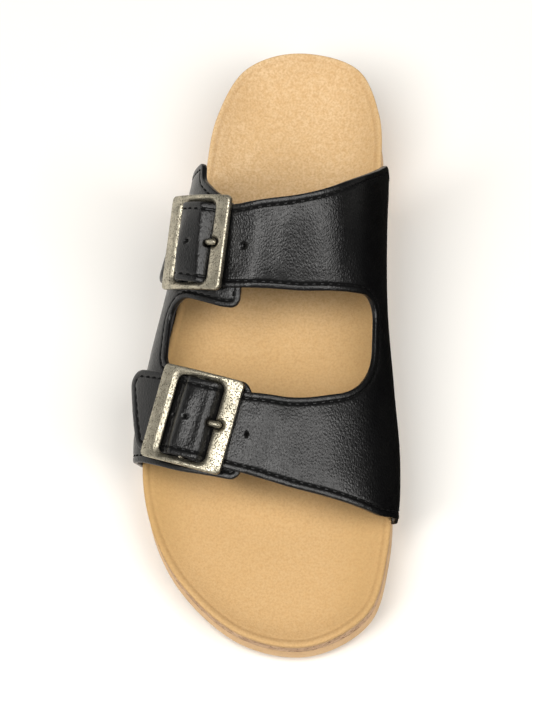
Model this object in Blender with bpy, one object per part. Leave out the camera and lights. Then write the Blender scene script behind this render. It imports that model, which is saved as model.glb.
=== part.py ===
"""Two-strap footbed sandal for the right foot, standing empty on its sole.

The toe points to -Y, the big-toe (medial) side is +X and the floor is z = 0.
Sizes and tables are in millimetres and the meshes in metres.
"""
import math

import bmesh
import bpy
import numpy as np
from mathutils import Vector
from mathutils.geometry import delaunay_2d_cdt

for old in list(bpy.data.objects):
    bpy.data.objects.remove(old)

MM = 0.001

# Driving sizes
SOLE_LENGTH = 260.0
BALL_WIDTH = 103.3
INSTEP_HEIGHT = 86.0
WALL = 2.2
GAP = 0.3

# Rim outline seen from above, from the heel round the medial side.
# along is the share of the sole's length from the heel, across the share of the ball width from the middle.
OUTLINE = (
    # name, along, across
    ("heel_back", 0.000, -0.029),
    ("heel_back_medial", 0.026, 0.232),
    ("heel_medial", 0.109, 0.332),
    ("heel_front_medial", 0.205, 0.349),
    ("arch_medial", 0.340, 0.349),
    ("waist_medial", 0.467, 0.361),
    ("ball_rear_medial", 0.590, 0.397),
    ("ball_medial", 0.713, 0.434),
    ("big_toe_medial", 0.840, 0.430),
    ("big_toe_corner", 0.942, 0.361),
    ("toe_tip", 0.999, 0.136),
    ("toe_lateral", 0.985, -0.131),
    ("little_toe", 0.904, -0.383),
    ("ball_front_lateral", 0.809, -0.518),
    ("ball_lateral", 0.705, -0.566),
    ("ball_rear_lateral", 0.590, -0.528),
    ("waist_lateral", 0.467, -0.467),
    ("arch_lateral", 0.340, -0.411),
    ("heel_front_lateral", 0.225, -0.376),
    ("heel_lateral", 0.121, -0.342),
    ("heel_back_lateral", 0.032, -0.232),
)

# Heights of the footbed over the floor, and how late its bowl turns up towards each rim
FOOTBED_COLUMNS = ("along", "rim_lateral", "rim_medial", "bed", "bowl_lateral", "bowl_medial")
FOOTBED = (
    (0.00, 36.0, 36.0, 25.0, 3.0, 3.0),
    (0.15, 36.0, 36.5, 23.5, 3.2, 3.0),
    (0.35, 34.5, 39.0, 27.0, 3.5, 2.2),
    (0.50, 30.5, 34.5, 25.5, 4.0, 2.4),
    (0.65, 26.0, 28.0, 21.0, 5.0, 4.0),
    (0.80, 24.3, 25.0, 18.8, 6.0, 6.0),
    (1.00, 26.5, 26.5, 20.0, 6.0, 6.0),
)

# Sections of the last under the straps: the crest's place, its height as a share of the instep's,
# and how far the walls belly out over the rim
LAST_COLUMNS = ("along", "crest_x", "crest", "belly_lateral", "belly_medial")
LAST = (
    (0.20, 2.0, 1.200, 0.0, 1.0),
    (0.36, 2.0, 1.030, 0.8, 1.2),
    (0.51, 0.0, 0.830, 1.4, 1.4),
    (0.67, -2.0, 0.710, 0.6, 1.2),
    (0.82, -2.0, 0.630, 0.0, 0.6),
)
ROUND_LATERAL = 2.0
ROUND_MEDIAL = 2.2
BELLY_RISE_LATERAL = 8.0
BELLY_RISE_MEDIAL = 4.0

# Flat pattern of the upper: s runs over the foot from the crest, and these rows of s carry the lasting margin
TURN_START = 95.0
TURN_END = 97.0
MARGIN_END = 104.0
TURN_RADIUS = 0.6
MARGIN_REACH = 7.0

# Sole
OUTSOLE_HEEL = 11.5
OUTSOLE_TOE = 8.0
TOE_SPRING = 7.0
SPRING_START = 0.74
SPRING_POWER = 1.7
LINING = 1.4
RIM_ROUND = 2.6
CORK_TAPER = 0.3
OUTSOLE_FLARE = 0.6
OUTSOLE_ROUND = 1.2
WAIST_START = 0.38
WAIST_END = 0.62
WAIST_RELIEF = 1.6
HEEL_BEVEL = 2.2
HEEL_BEVEL_END = 0.05
SPINE_FRONT = -88.0
SPINE_REAR = 95.0
TOE_BAR = 2.4
TOE_BAR_X = -2.0
TOE_BAR_Y = -69.0
TOE_BAR_CURVE = 0.021
TOE_BAR_LENGTH = 8.0
PAD = 1.2
PAD_Y = -18.0
PAD_LENGTH = 16.0

# Upper in the flat: corners as (name, s, y, corner radius), s from the crest with medial positive
MEDIAL_REAR = [
    ("margin_rear", MARGIN_END, 70.0, 0.0),
    ("rear_shoulder", 58.0, 69.6, 14.0),
    ("rear_instep", 8.0, 40.3, 50.0),
]
WINDOW = [
    ("window_rear", 7.0, 4.5, 60.0),
    ("window_rear_corner", 44.8, 8.6, 8.0),
    ("window_front_corner", 44.8, -30.3, 24.0),
    ("window_front", 11.0, -37.8, 60.0),
]
MEDIAL_FRONT = [
    ("front_instep", 8.0, -73.0, 120.0),
    ("front_shoulder", 55.0, -80.0, 30.0),
    ("margin_front", MARGIN_END, -71.5, 0.0),
]
LATERAL = [
    ("margin_front", -MARGIN_END, -50.0, 0.0),
    ("front_wall", -62.5, -59.5, 20.0),
    ("front_tab_edge", -42.5, -66.0, 60.0),
    ("front_tab_end", -14.5, -71.2, 5.0),
    ("front_tab_end_rear", -9.0, -38.0, 6.0),
    ("front_tab_corner", -12.5, -31.6, 5.0),
    ("front_tab_rear", -27.5, -28.5, 30.0),
    ("window_front_corner", -51.2, -21.8, 8.0),
    ("window_rear_corner", -53.0, 8.6, 8.0),
    ("rear_tab_front", -26.0, -1.0, 15.0),
    ("rear_tab_corner", -18.2, -2.2, 12.0),
    ("rear_tab_end", -17.0, 33.5, 6.0),
    ("rear_tab_edge", -32.5, 46.0, 12.0),
    ("rear_wing", -40.6, 53.2, 8.0),
    ("rear_wing_top", -42.0, 60.8, 4.0),
    ("margin_rear", -MARGIN_END, 69.0, 0.0),
]
MARGIN_MEDIAL = (-74.8, 71.8)
MARGIN_LATERAL = (-55.0, 69.5)
MARGIN_RAMP = 3.0
STRAP_DIVIDE = -15.0
STRAP_HALF = 15.5
STRAP_SUNK = 0.5
STRAP_REST = WALL - STRAP_SUNK
NECK_P = 16.0
TIP_RADIUS = 5.5
FLARE_LENGTH = 10.0
NECK_RADIUS = 25.0
HOLE_P = (4.6, 9.6)
HOLE_HALF = 1.5
HOLE_CORNER = 1.4
BUMP_P = 4.1
DIP_P = 9.0
RAMP_P = (24.0, 34.0)

# Buckles: middle of each frame in the flat pattern, the strap's lean in degrees, its tip's two corners
# beyond the middle, and how far the tip stands off the wall at FLARE_LENGTH beyond the frame
BUCKLES = (
    # name, s, y, lean, rear corner, front corner, flare
    ("front", -34.0, -46.0, 16.0, 38.5, 22.5, 1.3),
    ("rear", -37.8, 25.5, 14.0, 27.0, 29.0, 3.0),
)
FRAME_P = 17.9
FRAME_Q = 19.5
WINDOW_P = 10.5
WINDOW_Q = 16.6
FRAME_THICK = 2.4
BEND_RADIUS = 64.0
FRAME_LOOPS = (
    # name, half length, half width, corner radius, height
    ("outer_foot", FRAME_P, FRAME_Q, 2.2, 0.0),
    ("outer_side", FRAME_P, FRAME_Q, 2.2, FRAME_THICK - 0.7),
    ("outer_top", FRAME_P - 0.6, FRAME_Q - 0.6, 1.8, FRAME_THICK),
    ("inner_top", WINDOW_P + 1.6, WINDOW_Q + 1.1, 4.0, FRAME_THICK),
    ("inner_side", WINDOW_P, WINDOW_Q, 3.0, FRAME_THICK - 1.4),
    ("inner_foot", WINDOW_P, WINDOW_Q, 3.0, 0.0),
)
BAR_HALF = 0.9
BAR_LOW = -1.7
BAR_HIGH = 0.1
BAR_BOTTOM = -1.95
BAR_SPAN = (-2.0, 6.0)
LUG_IN = 17.1
LUG_OUT = 18.8
LUG_TOP = 0.8
BUMP_LEVEL = 0.55
NOTCH_P = 12.2
NOTCH_HALF = 1.6
NOTCH_EXTRA = 2.0
PRONG_RADIUS = 1.05
PRONG = (
    # p, n, share of the radius
    (1.5, -0.85, 1.0),
    (6.2, -0.85, 1.0),
    (7.3, 0.0, 1.0),
    (8.3, 1.2, 1.0),
    (9.5, 1.75, 1.0),
    (12.3, 1.85, 1.0),
    (12.9, 1.85, 0.8),
    (13.2, 1.85, 0.4),
)

# Mesh fineness
ARC_ANGLE = math.radians(20.0)
SHARP_ANGLE = math.radians(40.0)
RIM_STEP = 7
RIM_EDGE = 9.0
SOLE_SPACING = 12.0
RECESS_RINGS = (8.2, 9.4)
FOOTBED_RINGS = (1.0, RIM_ROUND, 5.2, *RECESS_RINGS, 16.0)
OUTSOLE_RINGS = (1.4,)
PATTERN_STEP = 7.0
PATTERN_SPACING = 7.5
LINE_STEP = 6.0
LEAST_EDGE = 0.05
CORNER_SHARE = 0.49
SIDE_END = 0.47
HEX_ROW = 0.87
GRID_CLEAR = 0.6
ROW_CLEAR = 0.4
ROW_BREAK = 1.5
TINY = 1e-6
TURN_LINES = (TURN_START, 0.5 * (TURN_START + TURN_END), TURN_END)
STRAP_LINES = (1.6, BUMP_P, 0.5 * (BUMP_P + DIP_P), DIP_P, 14.0, 19.0)
NECK_EXTRA = 3.0
OUTLINE_STEPS = 24
ARCH_STEPS = 60
BELLY_STEPS = 20
TURN_STEPS = 5
LAST_END = 95.0
LAST_STEP = 1.0
SEAT_STEPS = (9, 13)
CORNER_STEPS = 4
BEND_STEPS = 7
NOTCH_STEPS = 9
PRONG_BEVEL = 3


def hermite(xs, ys, x):
    """Smooth curve through the points (xs, ys), read at x."""
    slopes = np.gradient(ys, xs)
    x = np.clip(x, xs[0], xs[-1])
    i = np.clip(np.searchsorted(xs, x) - 1, 0, len(xs) - 2)
    step = xs[i + 1] - xs[i]
    t = (x - xs[i]) / step
    start = ys[i] * (1 + 2 * t) * (1 - t) ** 2 + slopes[i] * step * t * (1 - t) ** 2
    end = ys[i + 1] * t * t * (3 - 2 * t) + slopes[i + 1] * step * t * t * (t - 1)
    return start + end


def along_of(y):
    """Share of the sole's length from the heel at a place along Y."""
    return 0.5 - np.asarray(y, float) / SOLE_LENGTH


def footbed_row(name, y):
    rows = np.array(FOOTBED)
    return hermite(rows[:, 0], rows[:, FOOTBED_COLUMNS.index(name)], along_of(y))


def last_row(name, y):
    rows = np.array(LAST)
    return hermite(rows[:, 0], rows[:, LAST_COLUMNS.index(name)], along_of(y))


def closed_curve(points):
    """Centripetal curve through a ring of points."""
    p = np.array(points, float)
    out = []
    for i in range(len(p)):
        a, b, c, d = (p[(i + k) % len(p)] for k in (-1, 0, 1, 2))
        t1 = np.linalg.norm(b - a) ** 0.5
        t2 = t1 + np.linalg.norm(c - b) ** 0.5
        t3 = t2 + np.linalg.norm(d - c) ** 0.5
        for t in np.linspace(t1, t2, OUTLINE_STEPS, endpoint=False):
            ab = a + (b - a) * t / t1
            bc = b + (c - b) * (t - t1) / (t2 - t1)
            cd = c + (d - c) * (t - t2) / (t3 - t2)
            abc = ab + (bc - ab) * t / t2
            bcd = bc + (cd - bc) * (t - t1) / (t3 - t1)
            out.append(abc + (bcd - abc) * (t - t1) / (t2 - t1))
    return np.array(out)


RIM = closed_curve([(across * BALL_WIDTH, SOLE_LENGTH * (0.5 - along)) for _, along, across in OUTLINE])


def rim_x(y, side):
    """X of the rim on the lateral (-1) or medial (1) side."""
    on_side = RIM[(RIM[:, 0] * side > 0) & (np.abs(along_of(RIM[:, 1]) - 0.5) < SIDE_END)]
    on_side = on_side[np.argsort(on_side[:, 1])]
    return np.interp(y, on_side[:, 1], on_side[:, 0])


def toe_spring(y):
    """How far the front of the sole curves up off the floor."""
    return TOE_SPRING * np.clip((along_of(y) - SPRING_START) / (1 - SPRING_START), 0, 1) ** SPRING_POWER


def joint_height(y):
    """Height of the glue joint between cork and outsole."""
    thinning = np.clip(along_of(y) / SPRING_START, 0, 1)
    return toe_spring(y) + OUTSOLE_HEEL + (OUTSOLE_TOE - OUTSOLE_HEEL) * thinning


# The last's surface, which is the inside of the upper
def half_section(y, side):
    """Points (x, z) of one half section from the crest down to the turn under the cork."""
    wall_x = rim_x(y, side) + side * GAP
    word = "medial" if side > 0 else "lateral"
    belly = last_row("belly_" + word, y)
    power = ROUND_MEDIAL if side > 0 else ROUND_LATERAL
    rise = BELLY_RISE_MEDIAL if side > 0 else BELLY_RISE_LATERAL
    crest_x = last_row("crest_x", y)
    crest_z = last_row("crest", y) * INSTEP_HEIGHT
    wide_x = wall_x + side * belly
    rim_z = footbed_row("rim_" + word, y)
    wide_z = rim_z + rise
    angle = np.linspace(0, math.pi / 2, ARCH_STEPS)
    arch = np.c_[crest_x + (wide_x - crest_x) * np.sin(angle) ** (2 / power),
                 wide_z + (crest_z - wide_z) * np.cos(angle) ** (2 / power)]
    t = np.linspace(0, 1, BELLY_STEPS)[1:]
    flare = np.c_[wide_x - side * belly * t * t * (3 - 2 * t), wide_z - rise * t]
    foot = np.array([[wall_x, joint_height(y) + GAP / 2 + WALL + TURN_RADIUS]])
    return np.vstack([arch, flare, foot])


def section(y):
    """The full section at y as arrays s, x and z."""
    s_all, points = [], []
    for side in (-1, 1):
        half = half_section(y, side)
        run = np.r_[0, np.cumsum(np.linalg.norm(np.diff(half, axis=0), axis=1))]
        turn = np.linspace(0, math.pi / 2, TURN_STEPS)[1:]
        foot = half[-1]
        bend = np.c_[foot[0] - side * TURN_RADIUS * (1 - np.cos(turn)), foot[1] - TURN_RADIUS * np.sin(turn)]
        margin = bend[-1] - np.array([side * MARGIN_REACH, 0])
        path = np.vstack([half, bend, margin])
        bend_s = np.linspace(TURN_START, TURN_END, TURN_STEPS)[1:]
        s = np.r_[run / run[-1] * TURN_START, bend_s, MARGIN_END]
        order = slice(None, 0, -1) if side < 0 else slice(None)
        s_all.append((side * s)[order])
        points.append(path[order])
    points = np.vstack(points)
    return np.concatenate(s_all), points[:, 0], points[:, 1]


class Last:
    """The last's surface as a fine grid over s and y, read anywhere with an offset along its normal."""

    def __init__(self):
        turn = np.linspace(TURN_START, TURN_END, TURN_STEPS)
        self.s = np.unique(np.r_[np.arange(-MARGIN_END, MARGIN_END + 1), turn, -turn])
        self.y = np.arange(-LAST_END, LAST_END + LAST_STEP / 2, LAST_STEP)
        self.points = np.zeros((len(self.y), len(self.s), 3))
        for row, y in enumerate(self.y):
            s, x, z = section(y)
            self.points[row, :, 0] = np.interp(self.s, s, x)
            self.points[row, :, 1] = y
            self.points[row, :, 2] = np.interp(self.s, s, z)
        across = np.gradient(self.points, self.s, axis=1)
        along = np.gradient(self.points, self.y, axis=0)
        normals = np.cross(across, along)
        self.normals = normals / np.linalg.norm(normals, axis=2, keepdims=True)

    def at(self, s, y, offset=0.0):
        """Points in space for flat-pattern places, raised from the surface by offset."""
        s, y = np.asarray(s, float), np.asarray(y, float)
        i = np.clip(np.searchsorted(self.y, y) - 1, 0, len(self.y) - 2)
        j = np.clip(np.searchsorted(self.s, s) - 1, 0, len(self.s) - 2)
        v = ((y - self.y[i]) / (self.y[i + 1] - self.y[i]))[..., None]
        u = ((s - self.s[j]) / (self.s[j + 1] - self.s[j]))[..., None]

        def read(grid):
            near = grid[i, j] * (1 - u) + grid[i, j + 1] * u
            far = grid[i + 1, j] * (1 - u) + grid[i + 1, j + 1] * u
            return near * (1 - v) + far * v

        normal = read(self.normals)
        normal = normal / np.linalg.norm(normal, axis=-1, keepdims=True)
        return read(self.points) + normal * np.asarray(offset, float)[..., None]


LAST_SURFACE = Last()


# Flat outlines and their filling
def rounded_loop(rows):
    """Closed outline through corners (name, u, v, radius), each corner rounded by its own radius."""
    corners = [np.array(row[1:3], float) for row in rows]
    points = []
    for i, row in enumerate(rows):
        here = corners[i]
        before = corners[i - 1] - here
        after = corners[(i + 1) % len(rows)] - here
        if row[3] == 0:
            points.append(here)
            continue
        a = before / np.linalg.norm(before)
        b = after / np.linalg.norm(after)
        half = 0.5 * math.acos(np.clip(a @ b, -1, 1))
        room = CORNER_SHARE * min(np.linalg.norm(before), np.linalg.norm(after))
        reach = min(row[3] / math.tan(half), room)
        radius = reach * math.tan(half)
        middle = (a + b) / np.linalg.norm(a + b)
        centre = here + middle * math.hypot(radius, reach)
        start = here + a * reach - centre
        end = here + b * reach - centre
        turn = math.atan2(start[0] * end[1] - start[1] * end[0], start @ end)
        steps = max(2, math.ceil(abs(turn) / ARC_ANGLE))
        for t in np.linspace(0, turn, steps + 1):
            spin = np.array([[math.cos(t), -math.sin(t)], [math.sin(t), math.cos(t)]])
            points.append(centre + spin @ start)
    return np.array(points)


def split_loop(loop, step, lines=()):
    """The outline with no edge longer than step, and with a point wherever it crosses one of the lines."""
    out = []
    for a, b in zip(loop, np.roll(loop, -1, axis=0)):
        length = np.linalg.norm(b - a)
        if length < LEAST_EDGE:
            continue
        cuts = list(np.linspace(0, 1, max(1, math.ceil(length / step)), endpoint=False))
        for origin, direction, reach in lines:
            normal = np.array([-direction[1], direction[0]])
            side_a, side_b = (a - origin) @ normal, (b - origin) @ normal
            if side_a * side_b < 0 and min(abs(side_a), abs(side_b)) > LEAST_EDGE:
                t = side_a / (side_a - side_b)
                if abs((a + (b - a) * t - origin) @ direction) < reach:
                    cuts.append(t)
        out.extend(a + (b - a) * t for t in sorted(cuts))
    return np.array(out)


def inside(points, loop):
    """Which points lie inside a closed outline."""
    x, y = points[:, None, 0], points[:, None, 1]
    a, b = loop, np.roll(loop, -1, axis=0)
    spans = (a[:, 1] > y) != (b[:, 1] > y)
    rise = np.where(b[:, 1] == a[:, 1], 1.0, b[:, 1] - a[:, 1])
    cross_x = a[:, 0] + (y - a[:, 1]) / rise * (b[:, 0] - a[:, 0])
    return (spans & (x < cross_x)).sum(axis=1) % 2 == 1


def edge_distance(points, loop):
    """Distance from each point to a closed outline."""
    a, b = loop, np.roll(loop, -1, axis=0)
    run = b - a
    t = np.einsum("ijk,jk->ij", points[:, None] - a, run) / (run * run).sum(axis=1)
    nearest = a + np.clip(t, 0, 1)[..., None] * run
    return np.linalg.norm(points[:, None] - nearest, axis=2).min(axis=1)


def inset(loop, distance):
    """The outline moved inwards."""
    run = np.roll(loop, -1, axis=0) - np.roll(loop, 1, axis=0)
    normal = np.c_[-run[:, 1], run[:, 0]] / np.linalg.norm(run, axis=1, keepdims=True)
    a, b = loop, np.roll(loop, -1, axis=0)
    turn = np.sign((a[:, 0] * b[:, 1] - b[:, 0] * a[:, 1]).sum())
    return loop + normal * distance * turn


def fill(loop, spacing, rings=(), holes=(), lines=()):
    """Points and triangles over a flat outline, with rings near its edge and rows of points on the lines."""
    chains = [(loop, True)]
    chains += [(hole, True) for hole in holes]
    chains += [(inset(loop, distance), True) for distance in rings]
    low, high = loop.min(axis=0), loop.max(axis=0)
    grid = np.array([(u + 0.5 * spacing * (k % 2), v)
                     for k, v in enumerate(np.arange(low[1], high[1], spacing * HEX_ROW))
                     for u in np.arange(low[0], high[0] + spacing, spacing)])
    grid = grid[inside(grid, loop)]
    clear = edge_distance(grid, loop) > (max(rings) if rings else 0) + GRID_CLEAR * spacing
    for hole in holes:
        clear &= edge_distance(grid, hole) > GRID_CLEAR * spacing
        clear &= ~inside(grid, hole)
    for origin, direction, reach in lines:
        row = origin + np.arange(-reach, reach, LINE_STEP)[:, None] * direction
        row = row[inside(row, loop) & (edge_distance(row, loop) > ROW_CLEAR * LINE_STEP)]
        for hole in holes:
            row = row[~inside(row, hole) & (edge_distance(row, hole) > ROW_CLEAR * HOLE_HALF)]
        gaps = np.flatnonzero(np.linalg.norm(np.diff(row, axis=0), axis=1) > ROW_BREAK * LINE_STEP) + 1
        chains += [(run, False) for run in np.split(row, gaps)]
        out = grid - origin
        beside = np.abs(out[:, 0] * direction[1] - out[:, 1] * direction[0])
        clear &= (beside > GRID_CLEAR * LINE_STEP) | (np.abs(out @ direction) > reach)
    points, edges = [], []
    for chain, closed in chains:
        first = len(points)
        points.extend(chain)
        edges.extend((first + i, first + i + 1) for i in range(len(chain) - 1))
        if closed:
            edges.append((first + len(chain) - 1, first))
    points.extend(grid[clear])
    found = delaunay_2d_cdt([Vector(p) for p in points], edges, [], 0, 1e-5)
    flat = np.array([tuple(p) for p in found[0]])
    triangles = np.array([tuple(t) for t in found[2]])
    middle = flat[triangles].mean(axis=1)
    keep = inside(middle, loop)
    for hole in holes:
        keep &= ~inside(middle, hole)
    return flat, triangles[keep]


# Objects
def new_object(name, mesh, material=None):
    made = bpy.data.objects.new(name, mesh)
    bpy.context.scene.collection.objects.link(made)
    made.parent = STAND
    if material:
        mesh.materials.append(material)
    else:
        made.hide_render = True
        made.display_type = "WIRE"
    return made


def close_mesh(name, points, faces):
    """A mesh in metres from points in millimetres, its faces turned outwards."""
    mesh = bpy.data.meshes.new(name)
    mesh.from_pydata([tuple(p * MM) for p in points], [], [tuple(int(i) for i in face) for face in faces])
    shape = bmesh.new()
    shape.from_mesh(mesh)
    bmesh.ops.recalc_face_normals(shape, faces=shape.faces)
    shape.to_mesh(mesh)
    shape.free()
    mesh.shade_smooth()
    mesh.set_sharp_from_angle(angle=SHARP_ANGLE)
    return mesh


def slab_mesh(name, flat, triangles, top, bottom):
    """A closed solid between two sheets over the same flat triangles."""
    count = len(flat)
    points = np.vstack([top(flat), bottom(flat)])
    faces = [tuple(t) for t in triangles] + [tuple(t[::-1] + count) for t in triangles]
    directed = {(t[i], t[(i + 1) % 3]) for t in triangles for i in range(3)}
    faces += [(b, a, a + count, b + count) for a, b in directed if (b, a) not in directed]
    used = np.unique(np.concatenate([np.ravel(f) for f in faces]))
    place = {old: new for new, old in enumerate(used)}
    return close_mesh(name, points[used], [tuple(place[i] for i in face) for face in faces])


def boolean(target, tool, operation):
    change = target.modifiers.new(tool.name, "BOOLEAN")
    change.operation = operation
    change.solver = "EXACT"
    change.object = tool


def plain_material(name, colour, roughness, metallic=0.0):
    material = bpy.data.materials.new(name)
    material.use_nodes = True
    shader = material.node_tree.nodes["Principled BSDF"]
    shader.inputs["Base Color"].default_value = (*colour, 1.0)
    shader.inputs["Roughness"].default_value = roughness
    shader.inputs["Metallic"].default_value = metallic
    return material


# Sole
def bowl_share(flat):
    """For places on the footbed: spine point, share of the way to the rim, side, and the rim's Y there."""
    x, y = flat[:, 0], flat[:, 1]
    spine_y = np.clip(y, SPINE_FRONT, SPINE_REAR)
    spine_x = 0.5 * (rim_x(spine_y, -1) + rim_x(spine_y, 1))
    side = np.where(x >= spine_x, 1, -1)
    edge_x = np.where(side > 0, rim_x(y, 1), rim_x(y, -1))
    share = np.abs(x - spine_x) / np.abs(edge_x - spine_x)
    edge_y = y.copy()
    for end_y, beyond in ((SPINE_FRONT, y < SPINE_FRONT), (SPINE_REAR, y > SPINE_REAR)):
        centre = np.array([0.5 * (rim_x(end_y, -1) + rim_x(end_y, 1)), end_y])
        around = RIM - centre
        angle = np.arctan2(around[:, 1], around[:, 0])
        order = np.argsort(angle)
        out = flat[beyond] - centre
        reach = np.interp(np.arctan2(out[:, 1], out[:, 0]), angle[order],
                          np.linalg.norm(around, axis=1)[order], period=2 * math.pi)
        share[beyond] = np.linalg.norm(out, axis=1) / reach
        edge_y[beyond] = end_y + out[:, 1] / np.maximum(share[beyond], TINY)
    return np.c_[spine_x, spine_y], np.clip(share, 0, 1), side, edge_y


def footbed_height(flat):
    """Height of the footbed's upper skin."""
    spine, share, side, edge_y = bowl_share(flat)
    rim = np.where(side > 0, footbed_row("rim_medial", edge_y), footbed_row("rim_lateral", edge_y))
    power = np.where(side > 0, footbed_row("bowl_medial", edge_y), footbed_row("bowl_lateral", edge_y))
    bed = footbed_row("bed", spine[:, 1])
    height = bed + (rim - bed) * share ** power
    x, y = flat[:, 0], flat[:, 1]
    bar_y = TOE_BAR_Y + TOE_BAR_CURVE * (x - TOE_BAR_X) ** 2
    height += TOE_BAR * np.exp(-((y - bar_y) / TOE_BAR_LENGTH) ** 2) * (1 - share ** 4)
    height += PAD * np.exp(-((y - PAD_Y) / PAD_LENGTH) ** 2) * (1 - share ** 2)
    near = np.clip(1 - edge_distance(flat, RIM) / RIM_ROUND, 0, 1)
    return height - RIM_ROUND * (1 - np.sqrt(1 - near * near))


def drawn_in(flat, distance):
    """The same places drawn in towards the spine, by distance at the rim."""
    spine, share, _, _ = bowl_share(flat)
    out = flat - spine
    reach = np.linalg.norm(out, axis=1) / np.maximum(share, TINY)
    return flat - out * (distance / np.maximum(reach, TINY))[:, None]


def ground_height(y):
    """Height of the outsole's underside: flat at heel and forefoot, lifted at the waist, toe and heel end."""
    along = along_of(y)
    waist = np.clip((along - WAIST_START) / (WAIST_END - WAIST_START), 0, 1)
    heel = np.clip(1 - along / HEEL_BEVEL_END, 0, 1)
    return toe_spring(y) + WAIST_RELIEF * np.sin(math.pi * waist) ** 2 + HEEL_BEVEL * heel ** 2


def margin_room(flat):
    """How far the cork's underside is cut back over the upper's turned-in margin."""
    y = flat[:, 1]
    side = flat[:, 0] > 0
    front = np.where(side, MARGIN_MEDIAL[0], MARGIN_LATERAL[0])
    rear = np.where(side, MARGIN_MEDIAL[1], MARGIN_LATERAL[1])
    outside = np.maximum(front - y, y - rear)
    length = np.clip(1 - (outside - GAP) / MARGIN_RAMP, 0, 1)
    depth = np.clip((RECESS_RINGS[1] - edge_distance(flat, RIM)) / (RECESS_RINGS[1] - RECESS_RINGS[0]), 0, 1)
    return (WALL + GAP) * length * depth


def raised(flat, height):
    return np.c_[flat, height]


def make_sole():
    steps = [(side, end + sign * (GAP + ramp)) for side, ends in ((1, MARGIN_MEDIAL), (-1, MARGIN_LATERAL))
             for end, sign in zip(ends, (-1, 1)) for ramp in (0.0, MARGIN_RAMP)]
    half = BALL_WIDTH / 2
    lines = [(np.array([side * half, y]), np.array([1.0, 0.0]), half - 1.0) for side, y in steps]
    outline = split_loop(RIM[::RIM_STEP], RIM_EDGE, lines)
    flat, triangles = fill(outline, SOLE_SPACING, rings=FOOTBED_RINGS)
    skin = slab_mesh("footbed_lining", flat, triangles,
                     lambda p: raised(p, footbed_height(p)),
                     lambda p: raised(p, footbed_height(p) - LINING))
    new_object("footbed_lining", skin, plain_material("suede_tan", (0.56, 0.36, 0.18), 0.95))

    def cork_bottom(p):
        return raised(drawn_in(p, CORK_TAPER), joint_height(p[:, 1]) + GAP / 2 + margin_room(p))

    cork = slab_mesh("footbed_cork", flat, triangles,
                     lambda p: raised(p, footbed_height(p) - LINING - GAP), cork_bottom)
    new_object("footbed_cork", cork, plain_material("cork", (0.30, 0.19, 0.11), 0.9))

    flat, triangles = fill(outline, SOLE_SPACING, rings=OUTSOLE_RINGS)

    def outsole_bottom(p):
        edge = np.clip(1 - edge_distance(p, RIM) / OUTSOLE_ROUND, 0, 1)
        return raised(drawn_in(p, CORK_TAPER - OUTSOLE_FLARE), ground_height(p[:, 1]) + OUTSOLE_ROUND * edge)

    def outsole_top(p):
        return raised(drawn_in(p, CORK_TAPER), joint_height(p[:, 1]) - GAP / 2)

    outsole = slab_mesh("outsole", flat, triangles, outsole_top, outsole_bottom)
    new_object("outsole", outsole, plain_material("sole_foam", (0.52, 0.36, 0.20), 0.8))


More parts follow.
